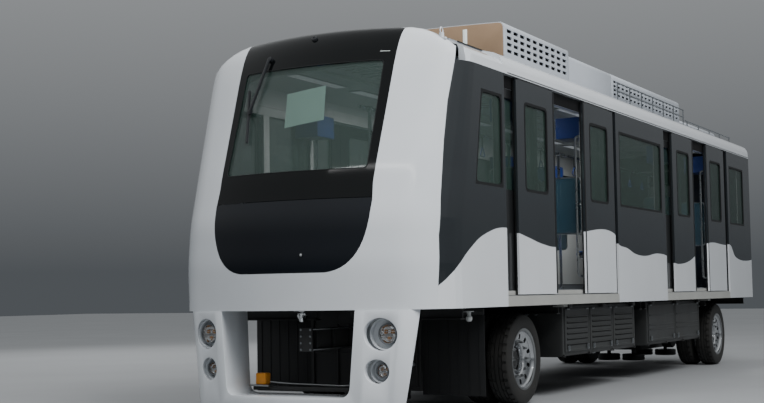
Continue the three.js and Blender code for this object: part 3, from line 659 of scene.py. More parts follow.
# %% Cutting the nose into its parts
def cut_to(bm, *cuts):
    """The Boolean modifier, once for each cutter: (operation, cutter)."""
    helpers = []
    for part in [bm] + [cutter for _, cutter in cuts]:
        mesh = bpy.data.meshes.new("cutting")
        part.to_mesh(mesh)
        part.free()
        helpers.append(bpy.data.objects.new("cutting", mesh))
        bpy.context.scene.collection.objects.link(helpers[-1])
    for (operation, _), cutter in zip(cuts, helpers[1:]):
        modifier = helpers[0].modifiers.new("cut", "BOOLEAN")
        modifier.operation, modifier.object, modifier.solver = operation, cutter, "EXACT"
    bpy.context.view_layer.update()
    result = bmesh.new()
    result.from_mesh(helpers[0].evaluated_get(bpy.context.evaluated_depsgraph_get()).to_mesh())
    for helper in helpers:
        bpy.data.meshes.remove(helper.data)
    return result


RAKE = [(5.940, 0), (5.925, 1.240), (5.905, 1.640), (5.850, 1.970), (5.735, 2.490), (5.638, 2.860),
        (5.500, 3.270), (5.330, 3.800)]
MASK = {"low": 1.33, "foot": 0.44, "bend": (0.770, 1.36), "top_of_bend": (0.825, 1.80)}
MASK_EDGE = [(0.835, 1.96), (0.822, 2.12), (0.860, 3.70)]  # above the round corner
GLASS = {"half": 0.755, "low": 2.25, "high": 3.27, "radius": 0.05}
SEAM = 0.003


def ahead_of_rake():
    edge = [(x + MID, z) for x, z in RAKE]
    return prism([*edge, (7, 3.8), (7, 0)], -1.6, 1.6, "y")


def mask_outline(gap):
    """The mask seen from the front, with a round lower corner each side."""
    (bend_y, bend_z), (edge_y, edge_z) = MASK["bend"], MASK["top_of_bend"]
    corner = bend((MASK["foot"], MASK["low"] + gap), (bend_y - gap, bend_z + gap),
                  (edge_y - gap, edge_z), 12)
    half = corner + [(y - gap, z) for y, z in MASK_EDGE]
    return half + [(-y, z) for y, z in reversed(half)]


def glass_outline(gap):
    half = GLASS["half"] - gap
    return rectangle(-half, half, GLASS["low"] + gap, GLASS["high"] - gap, GLASS["radius"])


SKIN = 0.055  # the moulding's thickness


def through_the_nose(outline):
    """An outline seen from the front, as a cutter that is longer than the nose."""
    return prism(outline, 5.2, 6.4, "x")


piece("nose_skin", CAR, [cut_to(nose_sheet(0, SKIN), ("INTERSECT", ahead_of_rake()),
                                ("DIFFERENCE", through_the_nose(mask_outline(0))))],
      gelcoat, "body_white", ["nose_fairing"])
MASK_SEAM_Z = 1.985  # the mask is two mouldings that meet here
for name, z0, z1, material in (("mask_upper", MASK_SEAM_Z + SEAM, 3.9, black_glaze),
                               ("mask_lower", 1.2, MASK_SEAM_Z - SEAM, mask_paint)):
    parts = [cut_to(nose_sheet(0.001, SKIN), ("INTERSECT", through_the_nose(mask_outline(SEAM))),
                    ("INTERSECT", ahead_of_rake()), ("INTERSECT", block((5, -1, z0), (6.5, 1, z1), 0)),
                    ("DIFFERENCE", through_the_nose(glass_outline(0))))]
    piece(name, CAR, parts, material, "body_dark", ["front_mask"])
piece("windscreen_pane", CAR, [cut_to(nose_sheet(0.008, 0.012),
                                      ("INTERSECT", through_the_nose(glass_outline(0.001))))],
      screen_glass, "glass", ["windscreen"])
for name in ("nose_skin", "mask_upper", "mask_lower", "windscreen_pane"):
    print(name, triangles[name], "triangles")

# %% [markdown]
# ## Windows and doors
# Each window is a pane with a black rubber profile round it. The solids have plain square corners
# there, and the profile brings in the round corners that one sees. A profile is a flat ring: the space
# between two outlines is filled and then extruded. The panes in the leaves ride on the leaves.

# %% Panes and their rubber profiles
PANE_HALF = 0.003
glazed = {}


def glaze(name, body, side, outer, inner, proud, depth, back=0.012):
    """A ring of rubber between two outlines, and a pane inside it. Made for the left, then mirrored."""
    ring = frame_ring(outer, inner, depth - back, proud)
    pane = prism(inner, depth - PANE_HALF, depth + PANE_HALF)
    if side == "right":
        ring, pane = copies(ring, [MIRROR_Y]), copies(pane, [MIRROR_Y])
    piece(f"{name}_seal", body, [ring], rubber, "guide_tyre")
    glazed[name] = piece(f"{name}_pane", body, [pane], side_glass, "glass")


WINDOW_Z = (2.130, 3.030)
SEAL = 0.026
PANEL_WINDOWS = {
    "front": [(4.650, WINDOW_Z[0]), (5.290, WINDOW_Z[0]), (5.130, WINDOW_Z[1]), (4.650, WINDOW_Z[1])],
    "centre": rectangle(-0.530, 1.170, *WINDOW_Z),
    "rear": rectangle(-5.000, -4.100, *WINDOW_Z),
}


def inset(corners, by):
    middle = sum((Vector(c) for c in corners), Vector((0, 0))) / len(corners)
    return [tuple(v + Vector([math.copysign(by, m - a) for a, m in zip(v, middle)]))
            for v in map(Vector, corners)]


for side in SIDES:
    for place, corners in PANEL_WINDOWS.items():
        corners = [(x + MID, z) for x, z in corners]
        glaze(f"window_{place}_{side}", CAR, side, rounded(inset(corners, 0.0005), 0.004),
              rounded(inset(corners, SEAL), 0.065), 1.4245, 1.408)
    for leaf in [n for n in nodes if n.startswith("door_leaf") and side in n]:
        low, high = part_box(leaf)
        corners = rectangle(low.x + 0.2, high.x - 0.2, *WINDOW_Z)
        glaze(leaf, leaf, side, rounded(corners, 0.070), rounded(inset(corners, SEAL), 0.055), 1.4238,
              1.404)
        lead, way = (low.x, 1) if leaf.endswith("fore") else (high.x, -1)
        edge = sorted((lead + way * 0.001, lead + way * 0.036))
        nose_rubber = block((edge[0], 1.4215, 1.116), (edge[1], 1.4245, 3.226), 0.001)
        inner = block((low.x + 0.02, 1.3775, 1.13), (high.x - 0.02, 1.3802, 2.08), 0.001)
        parts = [nose_rubber, inner]
        if side == "right":
            parts = [copies(part, [MIRROR_Y]) for part in parts]
        piece(f"{leaf}_edge", leaf, parts, rubber, "guide_tyre")
print(len(glazed), "panes")

# %% Recess panes, header covers, thresholds and door tracks
DOORWAYS = {"front": 2.935 + MID, "rear": -2.325 + MID}
panes, covers, treads, tracks = [], [], [], []
for x in DOORWAYS.values():
    for way in (-1, 1):
        a, b = sorted((x + way * 0.782, x + way * 1.593))
        panes.append(block((a, 1.344, 2.132), (b, 1.350, 3.028), 0.001))
    covers.append(block((x - 1.648, 1.3715, 3.122), (x + 1.648, 1.3755, 3.2485), 0.001))
    treads.append(block((x - 0.70, 1.18, 1.1503), (x + 0.70, 1.371, 1.1575), 0.002))
    treads += [centred((x, 1.20 + k * 0.022, 1.159), (1.38, 0.006, 0.004), 0.001) for k in range(8)]
    tracks.append(centred((x, 1.39, 1.1035), (3.28, 0.012, 0.007), 0.001))
piece("recess_panes", CAR, [both_sides(part) for part in panes], side_glass, "glass")
# The header covers are drawn in the painted shade black.
piece("door_header_covers", CAR, [both_sides(part) for part in covers], painted_shade_black, "chassis_black")
piece("door_thresholds", CAR, [both_sides(part) for part in treads], aluminium, "handrail_steel")
piece("door_floor_tracks", CAR, [both_sides(part) for part in tracks], aluminium, "handrail_steel")
print("doorways at x", DOORWAYS)

# %% [markdown]
# ## Tyres and rims
# A tyre is one profile spun round its axle: beads, bulging side walls, and a tread with four grooves
# round it. The shoulder blocks are every third face of the two outer ribs, set back by the inset
# operator. One tyre is made, and both tyres of a pair are copies of it. The rim is a broad bright
# ring round a dark, sunk hub. Its hand holes are real holes, cut by the Boolean modifier.

# %% Tyres
AXLE_Z = 0.46003
WHEELBASE = 7.6
TYRE_R = 0.4598
AXLES = {"front": WHEELBASE / 2 + MID, "rear": -WHEELBASE / 2 + MID}
TYRE_MIDS = (1.135, 0.835)
TREAD_STEPS = 96


def tyre():
    half = [(0.3028, 0.104), (0.316, 0.113), (0.335, 0.1165), (0.340, 0.1185), (0.362, 0.1195),
            (0.385, 0.1195),
            (0.410, 0.1170), (0.430, 0.1110), (0.4315, 0.1125), (0.4400, 0.1085), (0.4470, 0.1010),
            (0.4520, 0.0900), (0.4560, 0.0700)]
    for middle in (0.0600, 0.0220):
        half += [(TYRE_R - 0.001, middle + 0.0055), (TYRE_R - 0.011, middle + 0.0035),
                 (TYRE_R - 0.011, middle - 0.0035), (TYRE_R - 0.001, middle - 0.0055)]
    outline = [(r, -h) for r, h in half] + [(TYRE_R, 0)] + [(r, h) for r, h in reversed(half)]
    bm = turned(outline, "z", steps=TREAD_STEPS, closed=True)
    notched = []
    for face in bm.faces:
        middle = face.calc_center_median()
        step = int(round(math.atan2(middle.y, middle.x) / math.tau * TREAD_STEPS - 0.5))
        shoulder = 0.066 < abs(middle.z) < 0.100 and math.hypot(middle.x, middle.y) > 0.445
        rib = 0.028 < abs(middle.z) < 0.054 and math.hypot(middle.x, middle.y) > 0.455
        if (shoulder and step % 3 == 0) or (rib and (step + 2) % 4 == 0):
            notched.append(face)
    bmesh.ops.inset_individual(bm, faces=notched, thickness=0.0016, depth=-0.007)
    bm.transform(TURN["y"])
    return bm


# Tread rubber is nearly black and dull. Dust greys it in patches.
tyre_rubber = finish("dusty_tyre_rubber", "#1c1d1d", "#2b2a28", (0.62, 0.85), 5, 0.25, cloud=0.12)
for place, x in AXLES.items():
    for side, sign in SIDES.items():
        middles = [Matrix.Translation((x, sign * mid, AXLE_Z)) for mid in TYRE_MIDS]
        piece(f"tyre_pair_{place}_{side}", f"wheel_pair_{place}_{side}", [copies(tyre(), middles)],
              tyre_rubber, "tyre", [f"tyres_{place}_{side}"])
print("a pair of tyres has", triangles["tyre_pair_front_left"], "triangles")

# %% Rims, hubs and nuts
RIM = [  # radius, distance from the centreline
    (0.1465, 1.095), (0.132, 1.060), (0.140, 1.060), (0.255, 1.112), (0.268, 1.100), (0.280, 0.728),
    (0.300, 0.7225), (0.310, 0.7225), (0.3115, 0.7265), (0.3018, 0.734), (0.3018, 1.2350), (0.2860, 1.2350),
    (0.2845, 1.2300), (0.2790, 1.2140), (0.2700, 1.2060), (0.2580, 1.2030), (0.2100, 1.1960),
    (0.1700, 1.1830),
    (0.1560, 1.1760), (0.1500, 1.1660),
]
FLANGE = [(0.2862, 1.2358), (0.3018, 1.2358), (0.3115, 1.2435), (0.3100, 1.2475), (0.300, 1.2475),
          (0.290, 1.2440), (0.2862, 1.2390)]
HUB = [(0.0708, 0.735), (0.115, 0.735), (0.131, 1.058), (0.1455, 1.094), (0.1455, 1.098), (0.118, 1.100),
       (0.112, 1.104), (0.108, 1.128), (0.098, 1.134), (0.052, 1.136), (0.048, 1.139), (0.0, 1.139),
       (0.0, 0.905),
       (0.0708, 0.905)]
NUTS, HAND_HOLES = 10, 10


def round_the_axle(count, radius, along, start=0.0):
    """Places round an axle that runs along Y."""
    turns = [math.tau * (k + start) / count for k in range(count)]
    return [Matrix.Translation((radius * math.sin(a), along, radius * math.cos(a))) @
            Matrix.Rotation(a, 4, "Y") for a in turns]


hole = prism(rectangle(-0.020, 0.020, -0.027, 0.027, 0.019), -0.15, 0.06, "y", 0)
rim = cut_to(turned(RIM, "y", steps=72, closed=True),
             ("DIFFERENCE", copies(hole, round_the_axle(HAND_HOLES, 0.226, 1.20))))
nut = turned([(0, 0), (0.0165, 0), (0.0165, 0.006), (0.0125, 0.007), (0.0125, 0.022), (0.009, 0.026),
              (0.007, 0.026), (0.007, 0.036), (0, 0.036)], "y", steps=6)
nuts = copies(nut, round_the_axle(NUTS, 0.177, 1.184, 0.5))
hub = turned(HUB, "y", steps=40, closed=True)
flange = turned(FLANGE, "y", steps=72, closed=True)
cap_bolt = rod(0.006, 0, 0.008, "y", steps=6)
hub_parts = copies(cap_bolt, round_the_axle(8, 0.082, 1.134))
valve = tube([(0.265, 1.203, 0.03), (0.262, 1.222, 0.03), (0.245, 1.236, 0.03)], 0.004, smooth=True)


def on_wheels(part):
    """Copies of a part that is made round the left wheel's axle, for all four wheels."""
    mesh = bpy.data.meshes.new("wheel_part")
    part.to_mesh(mesh)
    part.free()
    for place, x in AXLES.items():
        for side, sign in SIDES.items():
            bm = bmesh.new()
            bm.from_mesh(mesh)
            matrix = Matrix.Translation((x, 0, AXLE_Z)) @ (Matrix() if sign > 0 else MIRROR_Y)
            yield place, side, copies(bm, [matrix])
    bpy.data.meshes.remove(mesh)


for name, part, material, slot, replaced in (
        ("rim", rim, polished, "wheel_alloy", True), ("wheel_nuts", nuts, steel, "wheel_alloy", False),
        ("rim_flange", flange, steel, "wheel_alloy", False), ("hub", hub, chassis, "chassis_black", False),
        ("hub_bolts", hub_parts, steel, "wheel_alloy", False),
        ("tyre_valve", valve, steel, "wheel_alloy", False)):
    for place, side, bm in on_wheels(part):
        piece(f"{name}_{place}_{side}", f"wheel_pair_{place}_{side}", [bm], material, slot,
              [f"wheel_{place}_{side}"] if replaced else ())
print("rim:", triangles["rim_front_left"], "triangles")

# %% Guide wheels
GUIDE = {"x": 0.820, "y": 0.190, "radius": 0.1660, "low": 0.0955, "high": 0.1895}
r, z0, z1 = GUIDE["radius"], GUIDE["low"], GUIDE["high"]
groove_z = (z0 + z1) / 2
BAND = [(0.122, z0 + 0.004), (r - 0.016, z0), (r - 0.003, z0 + 0.006), (r, z0 + 0.018), (r, groove_z - 0.006),
        (r - 0.005, groove_z - 0.003), (r - 0.005, groove_z + 0.003), (r, groove_z + 0.006), (r, z1 - 0.018),
        (r - 0.003, z1 - 0.006), (r - 0.016, z1), (0.122, z1 - 0.004)]
DISC = [(0.0286, z0 + 0.020), (0.05, z0 + 0.014), (0.1205, z0 + 0.002), (0.1218, z0 + 0.004),
        (0.1218, z1 - 0.004), (0.1205, z1 - 0.002), (0.112, z1 - 0.012), (0.075, z1 - 0.024),
        (0.060, z1 - 0.006), (0.0286, z1 - 0.004)]
for place, axle_x in AXLES.items():
    for side, sign in SIDES.items():
        for end, way in (("fore", 1), ("aft", -1)):
            body = f"guide_wheel_{place}_{side}_{end}"
            centre = (axle_x + way * GUIDE["x"], sign * GUIDE["y"], 0)
            piece(f"{body}_band", body, [turned(BAND, "z", centre, 40, closed=True)], rubber,
                  "guide_tyre", [body])
            bolts = copies(rod(0.006, z0 - 0.0005, z0 + 0.01, steps=6),
                           [(centre[0] + 0.085 * math.cos(a), centre[1] + 0.085 * math.sin(a), 0.004)
                            for a in np.linspace(0, math.tau, 6, endpoint=False)])
            piece(f"{body}_hub", body, [turned(DISC, "z", centre, 32, closed=True), bolts], zinc,
                  "wheel_alloy")
print("guide wheels:", sum("_band" in name for name in triangles))

# %% [markdown]
# ## Roof units
# The casings are hollow, with real slots cut through their sides, and a black core inside, painted
# shade, makes the slots read dark. The brown board over the front casing's end is plywood, with three
# strips of tape down it. Fans, lids and lifting eyes are on the top.

# %% Casings, slots and fans
UNIT_CORNER, UNIT_CREST, ROOF_Z = 0.060, 0.036, 3.500
CASINGS = {
    # name: rear x, front x, half width, top, wall, slot columns, rows, lowest and highest slot edge
    "front_condenser": (1.920, 3.800, 1.100, 3.930, 0.012, 10, 4, 3.600, 3.880),
    "front_evaporator": (0.410, 1.919, 1.098, 3.870, 0.012, 0, 0, 0, 0),
    "rear_condenser": (-2.620, 0.400, 1.098, 3.870, 0.012, 18, 4, 3.590, 3.800),
    "rear_cover": (-5.000, -2.760, 1.000, 3.660, 0.010, 12, 1, 3.585, 3.620),
}


def unit_outline(half, top):
    foot = bend((-half, ROOF_Z), (0, ROOF_Z + 0.086), (half, ROOF_Z), 10)
    right = bend((half, top - UNIT_CORNER), (half, top), (half - UNIT_CORNER, top))
    crest = bend((half - UNIT_CORNER, top), (0, top + UNIT_CREST), (UNIT_CORNER - half, top), 10)
    left = bend((UNIT_CORNER - half, top), (-half, top), (-half, top - UNIT_CORNER))
    return foot + right + crest[1:-1] + left


def grid_of(part, xs, zs, y=0.0):
    return copies(part, [(x, y, z) for x in xs for z in zs])


def slot_cutters(x0, x1, z0, z1, columns, rows, half):
    pitch_x, pitch_z = (x1 - x0) / columns, (z1 - z0) / rows
    slot = centred((0, 0, 0), (pitch_x * 0.70, 0.12, pitch_z * 0.52), 0.006)
    xs = [x0 + pitch_x * (k + 0.5) for k in range(columns)]
    zs = [z0 + pitch_z * (k + 0.5) for k in range(rows)]
    return both_sides(grid_of(slot, xs, zs, half))


def casing(x0, x1, half, top, wall, columns, rows, z0, z1):
    x0, x1 = x0 + MID, x1 + MID
    hollow = prism(unit_outline(half - wall, top - wall), x0 + wall, x1 - wall, "x")
    cuts = [("DIFFERENCE", hollow)]
    if columns:
        cuts.append(("DIFFERENCE", slot_cutters(x0 + 0.05, x1 - 0.05, z0, z1, columns, rows, half)))
    return cut_to(prism(unit_outline(half, top), x0, x1, "x", 0.004), *cuts)


shells, shade_cores = {}, {}
for name, (x0, x1, half, top, wall, *slots) in CASINGS.items():
    shells[name] = casing(x0, x1, half, top, wall, *slots)
    shade_cores[name] = prism(unit_outline(half - 0.05, top - 0.05), x0 + MID + 0.05, x1 + MID - 0.05, "x", 0.004)
piece("front_condenser_casing", CAR, [shells["front_condenser"]], unit_shell, "roof_grey",
      ["air_conditioner_front"])
piece("front_evaporator_casing", CAR, [shells["front_evaporator"]], unit_shell, "roof_grey")
piece("rear_condenser_casing", CAR, [shells["rear_condenser"]], unit_shell, "roof_grey",
      ["air_conditioner_rear"])
piece("rear_cover_casing", CAR, [shells["rear_cover"]], unit_shell, "roof_grey", ["roof_cover_rear"])
# A black core inside each casing is painted shade, so that the slots read dark.
piece("roof_unit_shade_cores", CAR, list(shade_cores.values()), painted_shade_black, "chassis_black")
print("casings:", triangles["front_condenser_casing"], "and", triangles["rear_condenser_casing"], "triangles")

# %% What is on the casings
board_x = CASINGS["front_condenser"][1] + MID
half, top = CASINGS["front_condenser"][2:4]
board = prism(unit_outline(half - 0.010, top - 0.008), board_x + 0.0005, board_x + 0.006, "x", 0.001)
piece("end_board", CAR, [board], plywood, "roof_grey")
tapes = [centred((board_x + 0.0068, y, 3.71), (0.0016, 0.048, 0.36), 0.0003) for y in (-0.62, 0.02, 0.66)]
piece("board_tapes", CAR, tapes, paper, "body_white")
fans, guards, lids, screws, eyes = [], [], [], [], []
for name, fan_xs in (("front_condenser", (2.40, 3.30)), ("rear_condenser", (-2.0, -1.10, -0.20))):
    half, top = CASINGS[name][2:4]
    deck = top + UNIT_CREST * 0.42
    for x in fan_xs:
        for y in (-0.46, 0.46):
            here = Matrix.Translation((x + MID, y, deck))
            ring = turned([(0.262, -0.03), (0.300, -0.03), (0.300, -0.008), (0.276, 0.002), (0.262, 0.000)],
                          steps=36, closed=True)
            fans.append(copies(ring, [here]))
            rings = [turned([(r - 0.003, -0.004), (r, -0.001), (r + 0.003, -0.004), (r, -0.007)], steps=32,
                            closed=True) for r in (0.07, 0.13, 0.19, 0.245)]
            spokes = copies(rod(0.003, -0.262, 0.262, "x", (0, 0, -0.006), 6, 0),
                            [Matrix.Rotation(math.pi * k / 4, 4, "Z") for k in range(4)])
            guards += [copies(part, [here]) for part in rings + [spokes]]
            hub_cap = turned([(0, -0.012), (0.055, -0.012), (0.055, 0.0), (0.045, 0.002), (0, 0.002)],
                             steps=20)
            guards.append(copies(hub_cap, [here]))
for name, count in (("front_evaporator", 2), ("rear_cover", 3)):
    x0, x1, half, top = CASINGS[name][:4]
    for k in range(count):
        span = (x1 - x0) / count
        x = x0 + MID + span * (k + 0.5)
        lids.append(centred((x, 0, top + 0.014), (span - 0.12, half * 1.35, 0.012), 0.004))
        for sx in (-1, 1):
            for sy in (-1, 0, 1):
                screws.append((x + sx * (span / 2 - 0.10), sy * half * 0.62, top + 0.020))
for x0, x1, half, top, *_ in CASINGS.values():
    for x in (x0 + MID + 0.14, x1 + MID - 0.14):
        for y in (-half + 0.13, half - 0.13):
            eyes.append(turned([(0.010, 0.005), (0.014, 0), (0.0175, 0.005), (0.014, 0.010)], "y",
                               (x, y - 0.005, top - 0.001), 16, closed=True))
piece("fan_rims", CAR, fans, zinc, "roof_grey")
piece("fan_guards", CAR, guards, steel, "roof_grey")
piece("unit_lids", CAR, lids, unit_shell, "roof_grey")
piece("lid_screws", CAR, [copies(rod(0.009, 0, 0.006, steps=6), screws)], zinc, "roof_grey")
piece("lifting_eyes", CAR, eyes, zinc, "roof_grey")
print("fans:", len(fans), "lids:", len(lids), "lifting eyes:", len(eyes))

# %% Rails, ribs and seams on the roof
END = -5.420 + MID  # x of the rear end wall's outer face
DRIP_Z = 3.262


def roof_height(y, half=1.200, edge=3.490, lift=0.060):
    return edge + lift * (1 - (y / half) ** 2)


rails = []
for y in (-1.16, 1.16):
    for x0, x1, z in ((-2.62, 0.38, 3.640), (-2.62, 0.38, 3.745), (-5.30, -2.70, 3.600)):
        rails.append(tube([(x0 + MID, y, z), (x1 + MID, y, z)], 0.009, sides=4))
    for x in list(np.linspace(-2.60, 0.36, 7)) + list(np.linspace(-5.28, -2.80, 5)):
        high = 3.750 if x > -2.65 else 3.603
        rails.append(rod(0.008, roof_height(abs(y)) - 0.012, high, "z", (x + MID, y, 0), 8, 0))
piece("roof_rails", CAR, rails, zinc, "roof_grey")
ribs = [block((-5.36 + MID, y - 0.012, roof_height(y) - 0.004),
              (5.20 + MID, y + 0.012, roof_height(y) + 0.008), 0.003) for y in (-1.05, -0.84, 0.84, 1.05)]
piece("roof_ribs", CAR, ribs, roof_paint, "roof_grey")
piece("roof_gutter", CAR, [both_sides(block((-5.41 + MID, 1.1975, 3.4865), (5.15 + MID, 1.2085, 3.494),
                                            0.002))],
      rubber, "guide_tyre")
drip = [(1.4245, DRIP_Z - 0.006), (1.4249, DRIP_Z + 0.008), (1.420, DRIP_Z + 0.010), (1.420, DRIP_Z - 0.006)]
piece("drip_rail", CAR, [both_sides(prism(drip, END + 0.01, 4.50 + MID, "x"))], aluminium, "body_white")
print("roof rails:", triangles["roof_rails"], "triangles")

# %% [markdown]
# ## Lamps, skirt and coupler
# Each lamp is a white recess with a bright reflector bowl, three small emitters, thin bars and a
# clear cover. The skirt is one plan outline raised and cut, and its edges are rounded at the end.

# %% The skirt
SKIRT = {"low": 0.140, "top": 0.9995, "front": 6.375, "low_half": 1.130, "top_half": 1.220, "corner": 0.250,
         "wall": 0.055}
LAMPS = [  # height, middle of the recess, middle of the lens, recess radius, lens radius
    (0.790, 0.919, 0.948, 0.142, 0.093),
    (0.470, 0.882, 0.896, 0.105, 0.068),
]


def bowed_plan(half, depth, steps=9):
    """Half of a plan outline: the side, the corner, and the face with its slight bow."""
    bow, corner, front = BOW, SKIRT["corner"], SKIRT["front"] + MID
    middle_y = half - corner
    middle_x = front - corner * math.cos(bow) - (middle_y + corner * math.sin(bow)) * math.tan(bow) / 2
    points = []
    for k in range(steps + 1):
        angle = math.pi / 2 + (bow - math.pi / 2) * k / steps
        r = corner - depth
        points.append((middle_x + r * math.cos(angle), middle_y + r * math.sin(angle)))
    edge_x, edge_y = points[-1]
    for k in range(1, 9):
        y = edge_y * (1 - k / 8)
        points.append((edge_x + math.tan(bow) / (2 * edge_y) * (edge_y ** 2 - y ** 2), y))
    return points


def skirt_form(depth, back, low, high):
    """The skirt's form as a solid: flared a little from its foot to its top."""
    half = bowed_plan(SKIRT["low_half"], depth)
    outline = [(back, half[0][1])] + half + [(x, -y) for x, y in reversed(half[:-1])] + [(back, -half[0][1])]
    bm = prism(outline, low, high, "z")
    flare = SKIRT["top_half"] / SKIRT["low_half"]
    for vert in bm.verts:
        if vert.co.z > (low + high) / 2:
            vert.co.y *= flare
    return bm


def coupler_mouth(grow):
    """The outline of the opening in the skirt, seen from the front."""
    right = bend((0.650 + grow, 0.330), (0.640 + grow, 0.240 - grow), (0.550, 0.240 - grow), 8)
    return [(0.710 + grow, 1.02)] + right + [(-y, z) for y, z in reversed(right)] + [(-0.710 - grow, 1.02)]


REVEAL = 0.040


def behind(low_x, high_x):
    """A block behind a leaning edge, to cut the skirt's rear off with."""
    edge = [(5.0, -0.05), (low_x, -0.05), (high_x, 1.01), (5.0, 1.01)]
    return prism([(x + MID, z) for x, z in edge], -1.4, 1.4, "y")


reveal = cut_to(prism(coupler_mouth(REVEAL), 5.5 + MID, 6.5 + MID, "x"),
                ("INTERSECT", skirt_form(0, 5.4 + MID, SKIRT["low"], SKIRT["top"])),
                ("DIFFERENCE", behind(5.930, 5.860)))
mouth = prism(coupler_mouth(0), 5.3 + MID, 6.5 + MID, "x")
recesses = [rod(r, 6.030 + MID, 6.5 + MID, "x", (0, s * y, z), 48, 0)
            for z, y, _, r, _ in LAMPS for s in (-1, 1)]
skirt = cut_to(skirt_form(0, 5.4 + MID, SKIRT["low"], SKIRT["top"]),
               ("DIFFERENCE", skirt_form(SKIRT["wall"], 5.2 + MID, 0.0, 1.1)),
               ("DIFFERENCE", behind(6.113, 6.017)), ("UNION", reveal), ("DIFFERENCE", mouth),
               *[("DIFFERENCE", r) for r in recesses])
bmesh.ops.dissolve_limit(skirt, angle_limit=math.radians(1), verts=skirt.verts, edges=skirt.edges)
bmesh.ops.remove_doubles(skirt, verts=skirt.verts, dist=0.0004)
SHARP_EDGE = math.radians(40)
edges = [e for e in skirt.edges if e.is_manifold and e.calc_face_angle(0) > SHARP_EDGE]
bmesh.ops.bevel(skirt, geom=edges, offset=0.004, segments=2, profile=0.5, affect="EDGES", material=-1,
                clamp_overlap=True)
piece("skirt_skin", CAR, [skirt], gelcoat, "body_white", ["front_skirt"], sharp=50)
print("skirt:", triangles["skirt_skin"], "triangles")

# %% Lamps
POT_BACK, POT_FACE, LENS_FACE = 6.050 + MID, 6.150 + MID, 6.146 + MID


def lamp_pot(z, y, recess, lens):
    back, face = POT_BACK, POT_FACE
    return turned([(0, back), (recess - 0.001, back), (recess - 0.001, face), (recess - 0.006, face + 0.002),
                   (recess - 0.011, face - 0.004), (recess - 0.016, back + 0.052),
                   (recess - 0.026, back + 0.044),
                   (lens * 0.6, back + 0.040), (0, back + 0.040)], "x", (0, y, z), 48)


def bezel(z, y, lens):
    back, face = LENS_FACE - 0.05, LENS_FACE
    return turned([(lens - 0.012, back), (lens, back), (lens, face - 0.006), (lens - 0.003, face - 0.001),
                   (lens - 0.009, face), (lens - 0.012, face - 0.004)], "x", (0, y, z), 40, closed=True)


def bowl(z, y, lens):
    face = LENS_FACE
    return turned([(0, face - 0.046), (lens * 0.45, face - 0.044), (lens * 0.75, face - 0.032),
                   (lens - 0.0122, face - 0.014), (lens - 0.0122, face - 0.05), (0, face - 0.05)],
                  "x", (0, y, z), 40)


def lamp_emitters(z, y, lens):
    face = LENS_FACE
    one = turned([(0, face - 0.048), (lens * 0.2, face - 0.048), (lens * 0.2, face - 0.036),
                  (lens * 0.12, face - 0.028), (0, face - 0.026)], "x", steps=16)
    turns = [math.tau * (k / 3 + 1 / 12) for k in range(3)]
    return copies(one, [(0, y + lens * 0.42 * math.cos(a), z + lens * 0.42 * math.sin(a)) for a in turns])


def lamp_cover(z, y, lens):
    face = LENS_FACE
    return turned([(0, face - 0.0030), (lens * 0.5, face - 0.0045), (lens - 0.0125, face - 0.0095),
                   (lens - 0.0125, face - 0.0125), (0, face - 0.0065)], "x", (0, y, z), 40)


def lamp_bars(z, y, lens):
    bar = centred((LENS_FACE - 0.0115, 0, 0), (0.004, lens * 1.5, lens * 0.05), 0.001)
    return copies(bar, [(0, y, z + k * lens * 0.24) for k in (-2, -1, 0, 1, 2)])


LAMP_PARTS = [
    # name, maker, material
    ("bezels", bezel, lamp_grey), ("bowls", bowl, reflector), ("emitters", lamp_emitters, orange),
    ("covers", lamp_cover, lens_glass), ("bars", lamp_bars, reflector),
]
for side in SIDES:
    mirror = [Matrix() if side == "left" else MIRROR_Y]
    made = [copies(lamp_pot(z, y, recess, lens), mirror) for z, y, _, recess, lens in LAMPS]
    piece(f"lamp_recesses_{side}", CAR, made, gelcoat, "body_white", [f"lamps_{side}"])
    for name, maker, material in LAMP_PARTS:
        made = [copies(maker(z, lens_y, lens), mirror) for z, _, lens_y, _, lens in LAMPS]
        piece(f"lamp_{name}_{side}", CAR, made, material, "lamp")
print("lamps so far:", [n for n in triangles if n.startswith("lamp_")])

# %% [markdown]
# ## Small things on the nose
# A point on the face is found from its distance off the middle and its height, so that these parts
# lie on the curved skin. The windscreen has a thin black seal, a wiper hung from the top, and a
# sheet of pale card inside.

# %% On the face
def on_face(y, z, out=0.0):
    """A point on the nose's front, moved out along the face's own direction."""
    x = float(face_reach(np.array([y]), np.array([z]))[0])
    step = 0.01
    dy = (float(face_reach(np.array([y + step]), np.array([z]))[0]) - x) / step
    dz = (float(face_reach(np.array([y]), np.array([z + step]))[0]) - x) / step
    normal = Vector((1, -dy, -dz)).normalized()
    return Vector((x, y, z)) + normal * out, normal


def laid_on_face(part, y, z, out=0.0, turn=0.0):
    """A part that is made round the origin, facing up, put on the face."""
    place, normal = on_face(y, z, out)
    matrix = Matrix.Translation(place) @ normal.to_track_quat("Z", "Y").to_matrix().to_4x4()
    return copies(part, [matrix @ Matrix.Rotation(turn, 4, "Z")])


def face_line(points, out, radius, sides=3):
    """A thin tube that follows the face through a few points."""
    route = []
    for (y0, z0), (y1, z1) in zip(points, points[1:]):
        route += [on_face(y0 + (y1 - y0) * k / 8, z0 + (z1 - z0) * k / 8, out)[0] for k in range(8)]
    return tube(route + [on_face(*points[-1], out)[0]], radius, sides=sides)


